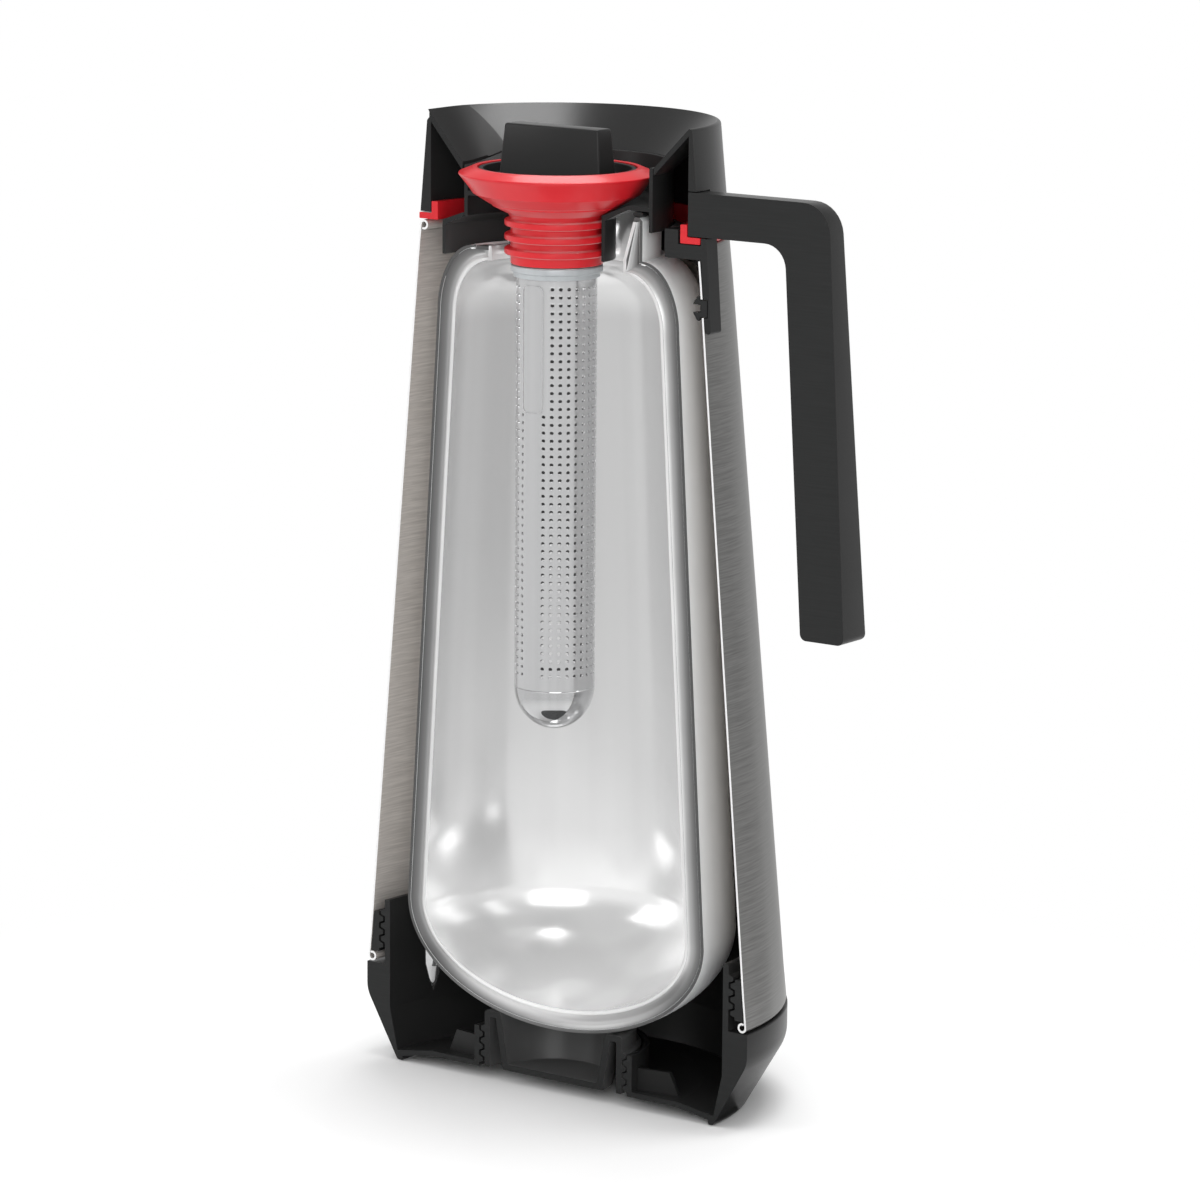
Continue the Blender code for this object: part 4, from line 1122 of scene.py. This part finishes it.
def makeHandle():
    low = level("handle", 0)
    reachTop = handle["reachTop"]
    reachFoot = handle["reachFoot"]
    bar = handle["bar"]
    outline = [(collarBore, armTop, 0), (reachTop, armTop, handle["outerRound"])]
    outline += [(reachFoot, low, handle["endRound"]), (reachFoot - bar, low, handle["endRound"])]
    outline += [(reachTop - bar, collarLow, handle["innerRound"]), (collarBore, collarLow, 0)]
    bm = plate(softened(outline, 0), handleHalfWidth)
    backEdges = [edge for edge in bm.edges if all(vertex.co.y > mm for vertex in edge.verts)]
    bevelled(bm, backEdges, handle["soft"] * mm, 4)
    addSawn("handle_moulding", bm, "handle")


def makeBracket():
    top = collarLow - fitGap
    tongueLow = casingTop - bracket["drop"]
    hookTop = lugTop + bracket["hookRise"]
    step = casingRadius(collarLow) + gasket["lip"] + fitGap
    thick = bracket["thickness"]

    def against(z):
        return casingRadius(z) + fitGap

    outline = [(against(tongueLow), tongueLow, 0.8), (against(lugLow), lugLow, 0.2)]
    outline += [(hookInner, lugLow, 0.5), (hookInner, hookTop, 0.4)]
    outline += [(bracket["hookOuter"], hookTop, 0.4), (bracket["hookOuter"], lugTop, 0.2)]
    outline += [(step, lugTop, 0.2), (step, top, 0.2), (step + thick, top, 0.2)]
    outline += [(against(tongueLow) + thick, tongueLow, 0.8)]
    bm = plate(softened(outline, 0), lambda z: bracket["halfWidth"])
    seat = against(pinHeight)
    hole = pin["radius"] + fitGap
    end = seat + pin["seat"] + fitGap
    length = 30
    atSeat = Matrix.Translation(((end - length / 2) * mm, 0, 0))
    bm = cut(bm, cone(hole, hole, length, atSeat @ alongX, segments=32))
    addSawn("tongue_moulding", bm, "handle_bracket")

    inside = casingRadius(pinHeight + pin["head"]) - casing["sheet"] - fitGap
    tip = inside - pin["headLength"]
    outline = [(0, seat + pin["seat"]), (pin["radius"], seat + pin["seat"]), (pin["radius"], inside)]
    outline += [(pin["head"], inside, 0.4), (pin["head"], inside - pin["headLength"] / 3, 0.5)]
    outline += [(pin["tip"], tip, 0.3), (0, tip)]
    bm = turned(softened(outline, 0.1), 360, steps=48)
    bmesh.ops.transform(bm, matrix=alongX, verts=bm.verts)
    reach = 2 * pin["head"]
    half = pin["slot"] / 2
    slotLow = (inside - 2 * pin["headLength"], -reach, pinHeight - half)
    slotHigh = (inside + fitGap, reach, pinHeight + half)
    bm = cut(bm, block(slotLow, slotHigh))
    bm = cut(bm, block((0, -past, 0), (past, 0, 2 * past)))
    addSawn("pin_moulding", bm, "handle_snap_pin")


makeCasing()
makeThreadRing()
makeBase()
makeCup()
print("casing and base made")
makeFlask()
makeGasket()
makeCollar()
makeInsert()
makeNeckRing()
makeMouthSeal()
print("flask and neck made")
makeStopper()
makeInfuser()
print("stopper and infuser made")
makeHandle()
makeBracket()
print("handle made")


# Camera

camera = dict(azimuth=35.5128, elevation=11.0544, roll=0.4322, distance=1519.82, lens=159.965)
camera.update(targetHeight=150.0, right=-12.840, up=4.454)


def makeCamera():
    azimuth = math.radians(camera["azimuth"])
    elevation = math.radians(camera["elevation"])
    roll = math.radians(camera["roll"])
    flat = math.cos(elevation)
    right = Vector((math.cos(azimuth), math.sin(azimuth), 0))
    back = Vector((math.sin(azimuth) * flat, -math.cos(azimuth) * flat, math.sin(elevation)))
    up = back.cross(right)
    rolledRight = math.cos(roll) * right + math.sin(roll) * up
    rolledUp = math.cos(roll) * up - math.sin(roll) * right
    target = Vector((0, 0, camera["targetHeight"]))
    place = target + camera["distance"] * back - camera["right"] * rolledRight - camera["up"] * rolledUp
    view = bpy.data.cameras.new("photo_view")
    view.lens = camera["lens"]
    view.sensor_width = 36
    view.clip_end = 20
    turn = Matrix((rolledRight, rolledUp, back)).transposed().to_4x4()
    holder = placed("photo_view", view)
    holder.matrix_world = Matrix.Translation(place * mm) @ turn
    bpy.context.scene.camera = holder


# Floor, world and lamps

floor = dict(radius=4.0, drop=0.0003, white=0.92, shadowNear=0.075, shadowFar=0.26, mirrored=0.82)


def whiteRays(start):
    # rays that show the background: seen directly, mirrored or through glass
    shown = start.sum("MAXIMUM", rayIs(start, "Camera"), rayIs(start, "Glossy"))
    return start.sum("MAXIMUM", shown, rayIs(start, "Transmission"))


def makeFloor():
    bm = bmesh.new()
    bmesh.ops.create_circle(bm, cap_ends=True, segments=96, radius=floor["radius"])
    sheet = placed("floor", meshFrom(bm, "floor"))
    sockets = {"Base Color": grey(floor["white"]), "Roughness": 0.9, "Specular IOR Level": 0.0}
    material, start, shader = newFinish("floor_paper", sockets)
    place = objectPlace(start)
    distance = start.node("ShaderNodeVectorMath", {"operation": "LENGTH"}, {0: place}, output="Value")
    away = share(start, distance, floor["shadowNear"], floor["shadowFar"])
    paper = Wire(start.tree, shader.outputs[0])
    shine = mixColour(start, rayIs(start, "Glossy"), grey(1.0), grey(floor["mirrored"]))
    glow = start.node("ShaderNodeEmission", {}, {"Color": shine, "Strength": 1.0})
    mixed = start.node("ShaderNodeMixShader", {}, {0: away * whiteRays(start), 1: paper, 2: glow})
    start.tree.links.new(mixed.socket, start.tree.nodes["Material Output"].inputs["Surface"])
    sheet.data.materials.append(material)
    sheet.location.z = -floor["drop"]


flag = dict(away=42.0, halfLength=66.0, halfWidth=38.0, height=1.0)


def makeFlag():
    # a black card on the floor in front, as studios use; only mirrored rays meet it
    azimuth = math.radians(camera["azimuth"])
    away = flag["away"]
    place = Vector((math.sin(azimuth) * away, -math.cos(azimuth) * away, flag["height"])) * mm
    size = Matrix.Diagonal((flag["halfLength"] * mm, flag["halfWidth"] * mm, 1, 1))
    turn = Matrix.Translation(place) @ Matrix.Rotation(azimuth, 4, "Z") @ size
    bm = bmesh.new()
    bmesh.ops.create_circle(bm, cap_ends=True, segments=48, radius=1, matrix=turn)
    card = placed("black_card", meshFrom(bm, "black_card"))
    card.data.materials.append(blackCut)
    card.visible_camera = False
    card.visible_diffuse = False
    card.visible_transmission = False
    card.visible_shadow = False


backdrop = dict(low=0.62, middle=0.66, high=0.72, ceiling=0.38, ceilingLow=0.12, ceilingHigh=0.55)


def makeWorld():
    world = bpy.data.worlds.new("studio")
    bpy.context.scene.world = world
    world.use_nodes = True
    start = Wire(world.node_tree)
    background = world.node_tree.nodes["Background"]
    direction = start.node("ShaderNodeTexCoord", output="Generated")
    height = axisPart(start, direction, 2)
    stops = [(0.0, grey(backdrop["low"])), (0.5, grey(backdrop["middle"])), (1.0, grey(backdrop["high"]))]
    sky = start.node("ShaderNodeValToRGB", {"stops": stops}, {0: height})
    # mirrored rays see the pale backdrop low down and a grey ceiling
    overhead = share(start, height, backdrop["ceilingLow"], backdrop["ceilingHigh"])
    studio = mixColour(start, overhead, grey(floor["mirrored"]), grey(backdrop["ceiling"]))
    seen = mixColour(start, rayIs(start, "Glossy"), grey(1.0), studio)
    colour = mixColour(start, whiteRays(start), sky, seen)
    feed(colour, background, "Color")


def addLamp(name, place, target, size, power, spin=0):
    lamp = bpy.data.lights.new(name, "AREA")
    lamp.shape = "RECTANGLE"
    lamp.size, lamp.size_y = size
    lamp.energy = power
    aim = (Vector(target) - Vector(place)).to_track_quat("-Z", "Y").to_matrix().to_4x4()
    turn = aim @ Matrix.Rotation(math.radians(spin), 4, "Z")
    placed(name, lamp).matrix_world = Matrix.Translation(place) @ turn


makeCamera()
makeFloor()
makeFlag()
makeWorld()
addLamp("top_softbox", (0.20, 0.20, 1.55), (0.20, 0.20, 0), size=(0.36, 0.85), power=10, spin=-33)
addLamp("front_softbox", (0.95, -1.5, 0.7), (0, 0, 0.15), size=(1.2, 1.0), power=10)
addLamp("left_softbox", (-1.2, -1.1, 0.9), (0, 0, 0.15), size=(0.5, 0.9), power=4)
addLamp("back_softbox", (-0.45, 0.65, 1.4), (0, 0, 0.25), size=(0.6, 0.4), power=4.5)
bpy.context.scene.view_settings.view_transform = "Standard"
print("stage set")
